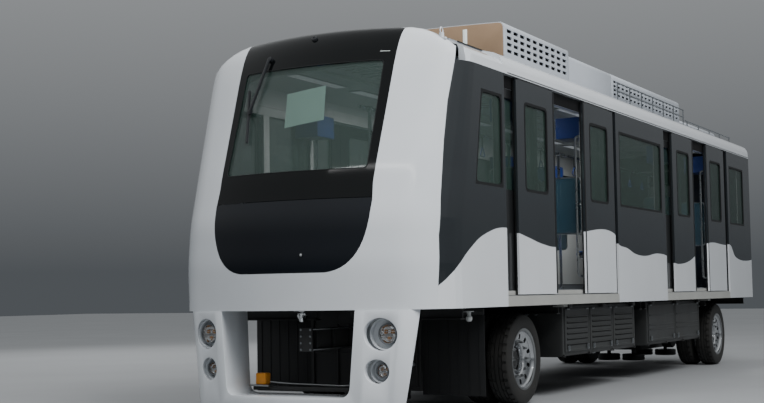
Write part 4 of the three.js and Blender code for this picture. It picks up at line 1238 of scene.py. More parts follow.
glass_edge = glass_outline(0.000)
seal_route = glass_edge + [glass_edge[0]]
piece("windscreen_seal", CAR, [face_line(seal_route[::2] + [seal_route[0]], -0.001, 0.0045)], rubber,
      "guide_tyre")
CARD = {"middle": (0.0275, 2.875), "width": 0.415, "height": 0.335, "in": -0.0215, "turn": 0.12}
card_sheet = bmesh.new()
bmesh.ops.create_grid(card_sheet, x_segments=10, y_segments=8, size=0.5)
for v in card_sheet.verts:
    spot = Matrix.Rotation(CARD["turn"], 2) @ Vector((v.co.x * CARD["width"], v.co.y * CARD["height"]))
    v.co = on_face(*(Vector(CARD["middle"]) + spot), CARD["in"])[0]
bmesh.ops.recalc_face_normals(card_sheet, faces=card_sheet.faces)
bmesh.ops.solidify(card_sheet, geom=card_sheet.faces[:], thickness=0.0012)
piece("windscreen_card", CAR, [card_sheet], card, "body_white")

arm_top, arm_low = (-0.47, 3.375), (-0.585, 2.86)
wiper = [face_line([arm_top, (-0.52, 3.12), arm_low], 0.030, 0.015)]
blade = [(-0.655, 3.08), (-0.60, 2.80), (-0.555, 2.56)]
wiper += [face_line(blade, 0.018, 0.012), face_line(blade, 0.004, 0.005)]
wiper += [laid_on_face(rod(0.026, -0.004, 0.034, steps=20), *arm_top),
          laid_on_face(centred((0, 0, 0.018), (0.030, 0.050, 0.026), 0.005), *arm_low),
          laid_on_face(rod(0.010, 0.008, 0.030, steps=12), *arm_low)]
piece("wiper", CAR, wiper, lamp_black, "chassis_black")
SENSOR = (-0.02, 3.545)
sensor = turned([(0, -0.004), (0.030, -0.004), (0.028, 0.016), (0.020, 0.022), (0.013, 0.023),
                 (0.011, 0.018), (0, 0.018)], steps=24)
piece("sensor_body", CAR, [laid_on_face(sensor, *SENSOR)], lamp_black, "chassis_black")
EYE_LENS = (0.219, 1.489)
dome = [(0.0125 * math.sin(a), 0.007 + 0.007 * math.cos(a)) for a in np.linspace(0, math.pi / 2, 7)]
dome = turned(dome + [(0.0125, 0), (0, 0)], steps=20)
piece("round_eye", CAR, [laid_on_face(dome, *EYE_LENS)], reflector, "lamp")
eye_ring = turned([(0.013, -0.002), (0.019, -0.002), (0.018, 0.005), (0.013, 0.006)], steps=24, closed=True)
piece("round_eye_ring", CAR, [laid_on_face(eye_ring, *EYE_LENS)], lamp_black, "chassis_black")
piece("brow_line", CAR, [face_line([(0.70, 3.354), (0.79, 3.352)], 0.0006, 0.0026)], paper, "body_white")
print("on the face:", list(triangles)[-7:])

# %% The lifting lug and the skirt's fixings
LUG_X = 5.480 + MID
lug = [block((LUG_X - 0.012, 1.150, 3.450), (LUG_X + 0.020, 1.250, 3.470), 0.002),
       rod(0.024, 3.465, 3.515, "z", (LUG_X, 1.20, 0), 16),
       turned([(0.020, 0.006), (0.028, 0), (0.036, 0.006), (0.028, 0.012)], "y", (LUG_X, 1.194, 3.535), 20,
              closed=True)]
piece("lifting_lug", CAR, lug, gelcoat, "body_white")
strip = [centred((6.06 + MID, 0.75, 1.0 - 0.012), (0.30, 0.03, 0.016), 0.003)]
strip += [rod(0.010, 0.955, 0.985, "z", (x + MID, 0.75, 0), 6) for x in (5.95, 6.05, 6.15)]
piece("skirt_brackets", CAR, [both_sides(part) for part in strip], zinc, "wheel_alloy")
FITTING = (5.220 + MID, 1.300, 0)
fitting = [rod(0.020, 0.945, 0.970, "z", FITTING, 20),
           turned([(0, 0.872), (0.020, 0.875), (0.030, 0.890), (0.030, 0.915), (0.018, 0.928), (0.018, 0.950),
                   (0, 0.950)], centre=FITTING, steps=20),
           block((FITTING[0] - 0.05, 1.262, 0.960), (FITTING[0] + 0.05, 1.330, 0.9695), 0.002)]
piece("white_fitting", CAR, fitting, panel_white, "body_white")
print("below the nose:", list(triangles)[-3:])

# %% [markdown]
# ## Under the floor
# The boxes have doors with rims, hinges, latches and ribs. The frame has cross-bearers, two long
# beams, cable trays and pipes. Everything here is welded steel in grey or black paint.

# %% Equipment boxes
BOXES = {
    # name: rear x, front x, inner |y|, outer |y|, bottom, side, doors, slots on every door
    "inverter_box": (0.25, 2.75, 0.52, 1.26, 0.430, 1, 3, 6),
    "battery_box": (-2.75, -0.25, 0.52, 1.26, 0.430, 1, 2, 0),
    "air_supply_box": (-2.75, -0.25, 0.52, 1.26, 0.470, -1, 3, 0),
    "resistor_box": (0.25, 2.75, 0.52, 1.26, 0.470, -1, 4, 8),
}
GLAND_YS = (0.66, 0.76, 0.86, 0.96)


def box_doors(x0, x1, outer, low, doors, slots):
    """Doors, rims, hinges and latches on the outer side of a box, for the left side of the car, and a strip
    of painted shadow under each louvre.
    """
    panels, fittings, louvre_shadows = [], [], []
    width = (x1 - x0 - 0.08) / doors
    top = 0.950
    for k in range(doors):
        a, b = x0 + 0.04 + k * width + 0.012, x0 + 0.04 + (k + 1) * width - 0.012
        middle = (a + b) / 2
        door = block((a, outer - 0.004, low + 0.045), (b, outer + 0.012, top), 0.004)
        face = max(door.faces, key=lambda f: f.calc_center_median().y)
        bmesh.ops.inset_region(door, faces=[face], thickness=0.030, depth=0)
        bmesh.ops.inset_region(door, faces=[face], thickness=0.006, depth=-0.005)
        panels.append(door)
        for s in range(slots):
            z = low + 0.13 + s * (top - low - 0.22) / max(slots - 1, 1)
            panels.append(centred((middle, outer + 0.010, z), (b - a - 0.14, 0.014, 0.010), 0.003))
            # A black strip just under each louvre is painted shadow.
            louvre_shadows.append(centred((middle, outer + 0.0085, z - 0.012), (b - a - 0.14, 0.004, 0.010), 0.001))
        if not slots:
            panels += [centred((middle, outer + 0.010, z), (b - a - 0.10, 0.008, 0.022), 0.003)
                       for z in (low + 0.20, (low + top) / 2, top - 0.14)]
        for x in (a + 0.09, b - 0.09):
            fittings.append(rod(0.008, x - 0.035, x + 0.035, "x", (0, outer + 0.016, top - 0.008), 10))
            latch = [centred((x, outer + 0.017, low + 0.085), (0.034, 0.012, 0.060), 0.004),
                     centred((x, outer + 0.027, low + 0.095), (0.014, 0.010, 0.046), 0.004),
                     rod(0.007, outer + 0.02, outer + 0.034, "y", (x, 0, low + 0.070), 10)]
            fittings += latch
    return panels, fittings, louvre_shadows


for name, (x0, x1, inner, outer, low, side, doors, slots) in BOXES.items():
    x0, x1 = x0 + MID, x1 + MID
    mirror = [Matrix() if side > 0 else MIRROR_Y]
    shell = prism(rectangle(inner, outer, low, 0.9995, 0.040), x0, x1, "x", 0.004)
    rim = frame_ring(rectangle(inner + 0.004, outer + 0.010, low - 0.006, low + 0.020),
                     rectangle(inner + 0.010, outer + 0.002, low + 0.001, low + 0.014), x0 + 0.02, x0 + 0.05,
                     "x")
    bands = [copies(rim, [(k * (x1 - x0 - 0.07) / 3, 0, 0) for k in range(4)])]
    panels, fittings, louvre_shadows = box_doors(x0, x1, outer, low, doors, slots)
    glands = [rod(0.024, x1 - 0.006, x1 + 0.030, "x", (0, y, 0.90), 6) for y in GLAND_YS]
    cables = [tube([(x1 + 0.01, y, 0.90), (x1 + 0.09, y, 0.905), (x1 + 0.13, y, 0.93),
                    (x1 + 0.14, y, 0.992)], 0.013, True, 4) for y in GLAND_YS]
    hangers = [centred((x, y, 0.975), (0.09, 0.05, 0.050), 0.004)
               for x in (x0 + 0.15, (x0 + x1) / 2, x1 - 0.15) for y in (inner - 0.02, outer + 0.022)]
    # The pieces whose names end in slots hold the painted shadow strips under the louvres.
    for suffix, parts, material, slot in (
            ("shell", [shell], box_paint, "chassis_black"), ("bands", bands, chassis, "chassis_black"),
            ("doors", panels, box_paint, "chassis_black"), ("fittings", fittings, zinc, "wheel_alloy"),
            ("hangers", hangers, chassis, "chassis_black"), ("glands", glands, zinc, "wheel_alloy"),
            ("cables", cables, rubber, "guide_tyre"), ("slots", louvre_shadows, painted_shade_black, "chassis_black")):
        if parts:
            piece(f"{name}_{suffix}", CAR, [copies(part, mirror) for part in parts], material, slot,
                  [name] if suffix == "shell" else ())
print("a box:", triangles["inverter_box_doors"], "triangles in its doors")

# %% Beams, trays and pipes
beams = []
BEAM_XS = (-5.3, -2.96, -0.10, 0.10, 2.96, 5.35)
BEAM = [(-0.05, 0.995), (-0.05, 0.985), (-0.006, 0.985), (-0.006, 0.905), (-0.05, 0.905), (-0.05, 0.895),
        (0.05, 0.895), (0.05, 0.905), (0.006, 0.905), (0.006, 0.985), (0.05, 0.985), (0.05, 0.995)]
for x in BEAM_XS:
    beam = [(x + MID + a, z) for a, z in BEAM]
    if abs(x) > 5:
        beams.append(both_sides(prism(beam, 0.24, 1.30)))
    else:
        beams.append(prism(beam, -1.30, 1.30))
beams.append(both_sides(block((-2.90 + MID, 0.30, 0.93), (2.90 + MID, 0.345, 0.9985), 0.004)))
piece("cross_bearers", CAR, beams, chassis, "chassis_black")
tray = [frame_ring(rectangle(-0.13, 0.13, 0.900, 0.985, 0.004), rectangle(-0.125, 0.125, 0.905, 0.980, 0.003),
                   -2.85 + MID, 2.85 + MID, "x")]
for y in (-0.09, -0.055, -0.02, 0.015, 0.05, 0.085):
    tray.append(tube([(-3.2 + MID, y, 0.925), (3.2 + MID, y, 0.925)], 0.014, sides=4))
pipes, clips = [], []
for y, z in ((0.405, 0.955), (0.445, 0.955), (0.475, 0.930), (-0.405, 0.955), (-0.450, 0.950)):
    pipes.append(tube([(-2.95 + MID, y, z), (2.95 + MID, y, z)], 0.011, sides=4))
    clips += [centred((x + MID, y, z), (0.016, 0.034, 0.034), 0.003) for x in np.linspace(-2.7, 2.7, 9)]
piece("cable_tray", CAR, tray, rubber, "guide_tyre")
piece("air_pipes", CAR, pipes, steel, "handrail_steel")
piece("pipe_clips", CAR, clips, zinc, "wheel_alloy")
plate_ribs = [block((4.866 + MID, y - 0.006, 0.23), (4.884 + MID, y + 0.006, 0.990), 0.001)
              for y in (-0.58, -0.30, 0.30, 0.58)]
plate_ribs += [block((4.866 + MID, -0.60, z - 0.006), (4.880 + MID, 0.60, z + 0.006), 0.001)
               for z in (0.23, 0.56)]
piece("splash_plate_ribs", CAR, plate_ribs, chassis, "chassis_black")
print("under the floor:", triangles["cross_bearers"], triangles["air_pipes"], "triangles")

# %% [markdown]
# ## Bogies and drawbars
# A bogie has a turntable ring, a welded frame, a drive axle with a round differential, four air
# springs with rolled rubber bellows, brake drums, rods and dampers, and the guide frame below. It
# keeps the form of its plain solid, and its parts are round or bevelled.

# %% Bogies
def bogie_parts():
    """The parts of a bogie, made round its own middle at the origin. One list per finish."""
    frame, springs, shiny = [], [], []
    frame.append(turned([(0.300, 0.920), (0.424, 0.920), (0.430, 0.926), (0.430, 0.9935), (0.424, 0.9995),
                         (0.300, 0.9995)], steps=48, closed=True))
    frame.append(block((-0.48, -0.52, 0.82), (0.48, 0.52, 0.93), 0.010))
    casing_half = [(0.195, 0.0), (0.185, 0.08), (0.120, 0.15), (0.088, 0.20), (0.095, 0.50), (0.090, 0.54),
                   (0.082, 0.56), (0.0, 0.56)]
    casing_line = [(r, -h) for r, h in reversed(casing_half[1:])] + casing_half
    frame.append(turned(casing_line, "y", (0, 0, AXLE_Z), 32))
    frame.append(rod(0.0698, -0.900, 0.900, "y", (0, 0, AXLE_Z), 32))
    frame.append(block((-0.19, -0.17, 0.29), (0.19, 0.17, 0.68), 0.040, 3))
    for s in (-1, 1):
        frame.append(block((-0.09, s * 0.43 - 0.06, 0.37), (0.09, s * 0.43 + 0.06, 0.83), 0.010))
        frame.append(block((-0.43, s * 0.43 - 0.055, 0.48), (0.43, s * 0.43 + 0.055, 0.56), 0.008))
        frame.append(block((-0.88, s * 0.30 - 0.04, 0.25), (0.88, s * 0.30 + 0.04, 0.33), 0.008))
        frame.append(block((s * 0.82 - 0.07, -0.33, 0.251), (s * 0.82 + 0.07, 0.33, 0.329), 0.008))
        frame.append(block((-0.06, s * 0.30 - 0.045, 0.32), (0.06, s * 0.30 + 0.045, 0.48), 0.006))
        drum = turned([(0.095, 0.42), (0.205, 0.42), (0.212, 0.43), (0.212, 0.55), (0.200, 0.565),
                       (0.095, 0.565)], "y", (0, 0, AXLE_Z), 36, closed=True)
        frame.append(copies(drum, [Matrix() if s > 0 else MIRROR_Y]))
        for t in (-1, 1):
            bellows = [(0, 0.560), (0.085, 0.560), (0.088, 0.590), (0.104, 0.610), (0.110, 0.640),
                       (0.104, 0.668), (0.090, 0.684), (0.104, 0.700), (0.110, 0.730), (0.104, 0.760),
                       (0.088, 0.780), (0, 0.780)]
            springs.append(turned(bellows, centre=(t * 0.30, s * 0.43, 0), steps=32))
            frame.append(turned([(0, 0.778), (0.105, 0.778), (0.108, 0.784), (0.108, 0.830), (0, 0.830)],
                                centre=(t * 0.30, s * 0.43, 0), steps=32))
            frame.append(rod(0.028, 0.100, 0.260, "z", (s * 0.82, t * 0.19, 0), 20, 0.003))
            corners = [(s * 0.82 + a, t * 0.19 + b, 0) for a in (-0.045, 0.045) for b in (-0.045, 0.045)]
            shiny.append(copies(rod(0.009, 0.329, 0.340, steps=6), corners))
            shiny.append(tube([(t * 0.42, s * 0.36, 0.60), (t * 0.20, s * 0.34, 0.86)], 0.017, sides=4))
            frame.append(tube([(t * 0.40, s * 0.362, 0.624), (t * 0.30, s * 0.350, 0.742)], 0.028, sides=4))
            shiny.append(copies(rod(0.010, 0.930, 0.942, steps=6),
                                [(t * 0.44, s * 0.47, 0), (t * 0.36, s * 0.49, 0)]))
        shiny.append(tube([(-0.40, s * 0.24, 0.44), (0.40, s * 0.24, 0.44)], 0.014, sides=4))
        shiny.append(rod(0.030, s * 0.49 - 0.04, s * 0.49 + 0.04, "y", (0.24, 0, 0.52), 16))
    ring_bolts = [(0.395 * math.cos(a), 0.395 * math.sin(a), 0)
                  for a in np.linspace(0, math.tau, 20, endpoint=False)]
    shiny.append(copies(rod(0.010, 0.908, 0.921, steps=6), ring_bolts))
    cover_bolts = [(0.13 * math.cos(a), 0, AXLE_Z + 0.13 * math.sin(a))
                   for a in np.linspace(0, math.tau, 10, endpoint=False)]
    shiny.append(copies(rod(0.008, 0.168, 0.178, "y", steps=6), cover_bolts))
    hoses = [tube([(0.10, s * 0.30, 0.90), (0.20, s * 0.34, 0.74), (0.24, s * 0.44, 0.62),
                   (0.24, s * 0.50, 0.54)], 0.011, True, 3) for s in (-1, 1)]
    return frame, springs + hoses, shiny


for place, x in AXLES.items():
    frame, rubbery, shiny = bogie_parts()
    here = [Matrix.Translation((x, 0, 0))]
    body = f"bogie_{place}"
    piece(f"{body}_frame", body, [copies(part, here) for part in frame], chassis, "chassis_black", [body])
    piece(f"{body}_bellows", body, [copies(part, here) for part in rubbery], rubber, "guide_tyre")
    piece(f"{body}_rods", body, [copies(part, here) for part in shiny], zinc, "wheel_alloy")
print("a bogie:", triangles["bogie_front_frame"], "triangles")

# %% Drawbars
DRAWBAR = {"z": 0.730, "half": 0.100, "flange": 0.016, "width": 0.062, "web": 0.022}
BRACKET_LOW = 0.8497
DRAWBARS = {"front": (5.000 + MID, 5.960 + MID, 1), "rear": (-5.100 + MID, -5.810 + MID, -1)}
for place, (pivot, face, way) in DRAWBARS.items():
    body = f"coupler_{place}"
    z, half, flange, width, web = DRAWBAR.values()
    x0, x1 = sorted((pivot, face - way * 0.010))
    e0, e1 = sorted((face - way * 0.020, face))
    bar = [block((x0, -web, z - half + 0.005), (x1, web, z + half - 0.005), 0.002),
           rod(0.104, z - half - 0.012, BRACKET_LOW, "z", (pivot, 0, 0), 36, 0.004),
           block((e0, -width - 0.008, z - half - 0.008), (e1, width + 0.008, z + half + 0.008), 0.003)]
    bar += [block((x0, -width, z + s * (half - flange / 2) - flange / 2),
                  (x1, width, z + s * (half - flange / 2) + flange / 2), 0.002) for s in (-1, 1)]
    bar += [block((x - 0.005, -width + 0.004, z - half + 0.014),
                  (x + 0.005, width - 0.004, z + half - 0.014), 0.001)
            for x in np.linspace(x0 + 0.22, x1 - 0.10, 3)]
    edges = [block((x0 + 0.06, s * width - 0.0006, z + t * (half - flange / 2) - flange / 2 + 0.002),
                   (x1, s * width + 0.0006, z + t * (half - flange / 2) + flange / 2 - 0.002), 0.0002)
             for s in (-1, 1) for t in (-1, 1)]
    far = face if way > 0 else face + 0.020
    nuts = [copies(rod(0.011, 0, 0.008, "x", steps=6), [(far - 0.002, y, z + dz) for y in (-0.05, 0.05)
                                                      for dz in (-0.09, -0.03, 0.03, 0.09)])]
    nuts.append(rod(0.034, z - half - 0.024, z - half - 0.010, "z", (pivot, 0, 0), 6))
    piece(f"{body}_bar", body, bar, chassis, "chassis_black", [body])
    piece(f"{body}_edges", body, edges, aluminium, "wheel_alloy")
    piece(f"{body}_nuts", body, nuts, zinc, "wheel_alloy")
    hose_line = [(0.16, 1.0, 0.99), (0.30, 1.0, 0.90), (0.50, 1.2, 0.885), (0.62, 1.3, 0.93),
                 (0.66, 1.3, 0.992)]
    hoses = [tube([(pivot + way * out, y * spread, height) for out, spread, height in hose_line],
                  0.016, True, 4)
             for y in (0.24, 0.32)]
    piece(f"hoses_{place}", CAR, hoses, rubber, "guide_tyre")
print("a drawbar:", triangles["coupler_front_bar"], "triangles")

# %% The amber box, its cable and the valve behind the skirt
amber_x = 5.86 + MID
amber_box = [block((amber_x, -0.560, 0.315), (amber_x + 0.09, -0.450, 0.420), 0.010, 3),
             rod(0.012, -0.578, -0.558, "y", (amber_x + 0.045, 0, 0.395), 16)]
piece("orange_box", CAR, amber_box, orange, "lamp")
bracket = block((amber_x - 0.04, -0.612, 0.300), (amber_x + 0.12, -0.40, 0.3145), 0.002)
piece("orange_box_bracket", CAR, [bracket], steel, "wheel_alloy")
lead = [(amber_x + 0.05, -0.42, 0.34), (amber_x + 0.04, -0.25, 0.325), (amber_x, 0.05, 0.318),
        (amber_x - 0.1, 0.35, 0.300), (amber_x - 0.2, 0.50, 0.36), (5.20 + MID, 0.54, 0.44),
        (4.98 + MID, 0.54, 0.455), (4.872 + MID, 0.54, 0.455)]
gland = [rod(0.020, 4.8652 + MID, 4.880 + MID, "x", (0, 0.54, 0.455), 6),
         rod(0.015, 4.878 + MID, 4.900 + MID, "x", (0, 0.54, 0.455), 16, 0.003)]
piece("orange_box_cable", CAR, [tube(lead, 0.008, True, 4)], steel, "wheel_alloy")
piece("orange_box_cable_gland", CAR, gland, zinc, "wheel_alloy")
cross_plate = [block((5.90 + MID, -0.60, 0.262), (5.93 + MID, 0.60, 0.300), 0.003)]
piece("skirt_cross_plate", CAR, cross_plate, chassis, "chassis_black")
VALVE = (5.550 + MID, -0.290)
valve_body = [turned([(0, 0.880), (0.026, 0.884), (0.034, 0.905), (0.048, 0.935), (0.048, 0.965), (0, 0.965)],
                     centre=(*VALVE, 0), steps=24),
              rod(0.022, 0.960, 0.992, "z", (*VALVE, 0), 16), rod(0.052, 0.938, 0.950, "z", (*VALVE, 0), 6),
              centred((*VALVE, 0.986), (0.12, 0.12, 0.012), 0.003)]
piece("silver_valve", CAR, valve_body, reflector, "wheel_alloy")
print("behind the skirt:", list(triangles)[-6:])

# %% [markdown]
# ## Inside
# Pale moulded panels line the walls between the windows, a flecked grey vinyl covers the floor and
# turns up at the walls, and two rows of opal diffusers run along the ceiling. All of it shows through
# the panes and the open doorways.

# %% Floor, wall linings and ceiling
ROOM = {"half": 1.3295, "rear": -5.660, "front": 5.000 + MID}
MODULES = {  # ends of the wall, and the pillars between its windows, from midway between the bogies
    "front": ((3.645, 5.000), [(3.645, 3.710), (4.535, 4.645)]),
    "centre": ((-1.615, 2.225), [(-1.615, -1.550), (-0.725, -0.537), (1.177, 1.335), (2.160, 2.225)]),
    "rear": ((-5.360, -3.040), [(-5.360, -5.007), (-4.093, -3.925), (-3.100, -3.040)]),
}
vinyl = [block((ROOM["rear"], -1.175, 1.1503), (ROOM["front"], 1.175, 1.1540), 0.001)]
coves, linings = [], []
COVE = [(1.3290, 1.1545), (1.3290, 1.250), (1.3240, 1.250), (1.3180, 1.180), (1.3040, 1.160),
        (1.2850, 1.1545)]
for (x0, x1), pillars in MODULES.values():
    x0, x1 = x0 + MID, x1 + MID
    vinyl.append(both_sides(block((x0, 1.1755, 1.1503), (x1, 1.329, 1.1540), 0.001)))
    coves.append(both_sides(prism(COVE, x0, x1, "x")))
    linings += [both_sides(block((x0, 1.318, 1.252), (x1, ROOM["half"], 2.112), 0.004)),
                both_sides(block((x0, 1.318, 3.046), (x1, ROOM["half"], 3.138), 0.004)),
                both_sides(block((x0, 1.300, 2.098), (x1, 1.3175, 2.114), 0.005))]
    linings += [both_sides(block((a + MID, 1.316, 2.114), (b + MID, ROOM["half"], 3.046), 0.004))
                for a, b in pillars]
piece("floor_vinyl", CAR, vinyl, floor_vinyl, "chassis_black")
piece("floor_coves", CAR, coves, floor_vinyl, "chassis_black")
piece("wall_linings", CAR, linings, panel_white, "body_white")

COVING = [(1.318, 3.140), (1.3295, 3.140), (1.3295, 3.200), (1.250, 3.330), (1.110, 3.384), (0.420, 3.396),
          (0.420, 3.384), (1.105, 3.372), (1.240, 3.320), (1.318, 3.196)]
ceiling = [both_sides(prism(COVING, ROOM["rear"], ROOM["front"], "x")),
           block((ROOM["rear"], -0.400, 3.400), (ROOM["front"], 0.400, 3.410), 0.003)]
ceiling += [both_sides(block((ROOM["rear"], 0.400, 3.380), (ROOM["front"], 0.418, 3.412), 0.003))]
piece("ceiling_panels", CAR, ceiling, panel_white, "body_white")
LIGHT_BAYS = [-4.95, -3.75, -2.45, -1.15, 0.15, 1.45, 2.75, 4.05]
diffusers, bezels, slats = [], [], []
for x in LIGHT_BAYS:
    outline = rectangle(x + MID, x + MID + 1.02, 0.620, 0.780, 0.030)
    diffusers.append(both_sides(prism(inset(outline, 0.010), 3.358, 3.369, "z", 0.003)))
    bezels.append(both_sides(frame_ring(outline, inset(outline, 0.009), 3.356, 3.372, "z")))
    slats += [centred((x + MID + 0.10 + 0.16 * k, 0, 3.398), (0.014, 0.46, 0.010), 0.002) for k in range(6)]
piece("ceiling_diffusers", CAR, diffusers, diffuser_painted_glow, "lamp")
piece("diffuser_bezels", CAR, bezels, aluminium, "handrail_steel")
piece("ceiling_air_slats", CAR, slats, brushed, "handrail_steel")
print("linings", triangles["wall_linings"], "ceiling", triangles["ceiling_panels"], "triangles")

# %% [markdown]
# The seats are shells moulded in one piece, four to a side. One shell is a grid: its length follows
# the side view of the seat, its edges are raised so that the pan is hollow, and solidify gives it
# thickness. The shells stand on a folded box of brushed steel.

# %% Seats
SEAT_SIDE = [(0.890, 1.556), (0.884, 1.580), (0.900, 1.599), (0.940, 1.600), (1.020, 1.590), (1.110, 1.583),
             (1.180, 1.588), (1.222, 1.612), (1.240, 1.660), (1.248, 1.740), (1.256, 1.840), (1.264, 1.940),
             (1.272, 2.005), (1.284, 2.030), (1.300, 2.036)]
SEATS = {"count": 4, "x0": -0.620 + MID, "x1": 1.220 + MID, "gap": 0.008}


def moulded_shell(x0, x1):
    """One seat between two places along the left wall."""
    run = np.concatenate([[0], np.cumsum([math.dist(p, q) for p, q in zip(SEAT_SIDE, SEAT_SIDE[1:])])])
    ys, zs = np.array(SEAT_SIDE).T
    shell = bmesh.new()
    bmesh.ops.create_grid(shell, x_segments=30, y_segments=14, size=0.5)
    for v in shell.verts:
        along, side = (v.co.x + 0.5) * run[-1], v.co.y * 2
        y, z = np.interp(along, run, ys), np.interp(along, run, zs)
        dy, dz = (np.interp(along + 0.01, run, line) - np.interp(along - 0.01, run, line)
                  for line in (ys, zs))
        size = math.hypot(dy, dz)
        lift = 0.016 * abs(side) ** 4 * math.sin(math.pi * min(1, max(0, along / run[-1])))
        narrow = 1 - 0.10 * max(0, along / run[-1] - 0.88) / 0.12
        v.co = ((x0 + x1) / 2 + side * narrow * (x1 - x0) / 2, y - lift * dz / size, z + lift * dy / size)
    bmesh.ops.recalc_face_normals(shell, faces=shell.faces)
    bmesh.ops.solidify(shell, geom=shell.faces[:], thickness=0.009)
    bmesh.ops.recalc_face_normals(shell, faces=shell.faces)
    return shell


count, x0, x1, gap = SEATS.values()
pitch = (x1 - x0) / count
for side, sign in SIDES.items():
    shells = [moulded_shell(x0 + k * pitch + gap / 2, x0 + (k + 1) * pitch - gap / 2) for k in range(count)]
    box = [block((x0 + 0.002, 1.052, 1.206), (x1 - 0.002, 1.310, 1.530), 0.006),
           block((x0 + 0.004, 0.905, 1.528), (x1 - 0.004, 1.220, 1.566), 0.008),
           block((x0 + 0.004, 1.284, 1.600), (x1 - 0.004, 1.316, 2.020), 0.008),
           block((-0.560 + MID, 1.062, 1.1545), (1.160 + MID, 1.310, 1.207), 0.004)]
    box += [centred((x0 + (k + 0.5) * pitch, 1.048, 1.370), (pitch - 0.06, 0.006, 0.250), 0.003)
            for k in range(count)]
    if sign < 0:
        shells, box = [[copies(part, [MIRROR_Y]) for part in group] for group in (shells, box)]
    piece(f"seat_shells_{side}", CAR, shells, seat_shell, "seat_blue", replaces=[f"bench_{side}"])
    piece(f"seat_box_{side}", CAR, box, brushed, "handrail_steel")
print("seat shells", triangles["seat_shells_left"], "triangles a side")

# %% Poles, rail and hand loops
POLES = [4.700, 2.935, 1.150, -0.550, -2.325, -4.600]
TALL = (2.935, -2.325)
RAIL_Z = 3.000
poles = [rod(0.018, -4.900 + MID, 4.900 + MID, "x", (0, 0, RAIL_Z), 20, 0.004)]
clamps, loops, straps = [], [], []
for x in POLES:
    poles.append(rod(0.018, 1.1545, 3.498 if x in TALL else 3.020, "z", (x + MID, 0, 0), 20, 0.004))
    clamps.append(turned([(0.019, 1.1545), (0.046, 1.1545), (0.046, 1.160), (0.040, 1.168), (0.024, 1.172),
                          (0.0215, 1.185), (0.019, 1.185)], centre=(x + MID, 0, 0), steps=24, closed=True))
    clamps.append(rod(0.0245, RAIL_Z - 0.030, RAIL_Z + 0.026, "z", (x + MID, 0, 0), 20))
    clamps.append(rod(0.0240, x + MID - 0.034, x + MID + 0.034, "x", (0, 0, RAIL_Z), 20))
    if x in TALL:
        clamps.append(turned([(0.019, 3.396), (0.044, 3.396), (0.044, 3.388), (0.030, 3.382), (0.019, 3.380)],
                             centre=(x + MID, 0, 0), steps=24, closed=True))
LOOP = [(-0.048, -0.250), (0.048, -0.250), (0.060, -0.232), (0.016, -0.150), (-0.016, -0.150),
        (-0.060, -0.232)]
for k in range(14):
    x = -4.25 + 0.62 * k + MID
    if min(abs(x - MID - pole) for pole in POLES) < 0.10:
        continue
    ring = [(x + a, 0.0, RAIL_Z + b) for a, b in rounded(LOOP, 0.014, 3)]
    loops.append(tube(ring + [ring[0]], 0.0075, sides=3))
    straps.append(block((x - 0.014, -0.003, RAIL_Z - 0.155), (x + 0.014, 0.003, RAIL_Z - 0.015), 0.001))
    straps.append(rod(0.0215, x - 0.015, x + 0.015, "x", (0, 0, RAIL_Z), 16))
piece("grab_poles", CAR, poles, brushed, "handrail_steel", replaces=["grab_rails"])
piece("pole_clamps", CAR, clamps, polished, "handrail_steel")
piece("hand_loops", CAR, loops, blue_film, "seat_blue")
piece("hand_loop_straps", CAR, straps, rubber, "chassis_black")
print(len(POLES), "poles and", len(loops), "hand loops")

# %% The console under the windscreen and the doorway's fittings
CONSOLE_REAR = 5.560 + MID
LID_YS = (-0.455, 0.0, 0.455)
lids = [centred((CONSOLE_REAR - 0.004, y, 1.62), (0.006, 0.42, 0.62), 0.002) for y in LID_YS]
locks = [rod(0.014, CONSOLE_REAR - 0.014, CONSOLE_REAR - 0.006, "x", (0, y + 0.17, 1.72), 16) for y in LID_YS]
bars = [centred((CONSOLE_REAR - 0.006, 0, 1.20 + 0.022 * k), (0.010, 1.20, 0.008), 0.002) for k in range(5)]
hand_line = [(0, -0.60), (0.05, -0.60), (0.05, 0.60), (0, 0.60)]
hand = [tube([(CONSOLE_REAR - out, y, 1.985) for out, y in hand_line],
             0.011, sides=3)]
piece("console_lids", CAR, lids, panel_white, "body_white")
piece("console_locks", CAR, locks + hand, polished, "handrail_steel")
# The grille's bars are drawn in the painted shade black.
piece("console_grille", CAR, bars, painted_shade_black, "chassis_black")
rails = []
for x in DOORWAYS.values():
    for way in (-1, 1):
        end = x + way * 0.740
        route = [(end, 1.318, 1.30), (end, 1.262, 1.30), (end, 1.255, 1.36), (end, 1.255, 2.82),
                 (end, 1.262, 2.88), (end, 1.318, 2.88)]
        rails.append(both_sides(tube(route, 0.014, smooth=True, sides=3)))
piece("doorway_handrails", CAR, rails, brushed, "handrail_steel")
headers = [both_sides(block((x - 0.70, 1.270, 3.128), (x + 0.70, 1.3285, 3.250), 0.010))
           for x in DOORWAYS.values()]
piece("doorway_headers", CAR, headers, panel_white, "body_white")
print("handrails:", triangles["doorway_handrails"], "triangles")

# %% [markdown]
# Beside each doorway stands a draught screen, a sheet of blue-green tinted plastic in a steel edge.
# Over it a cover for the door drive still wears its blue protective film.

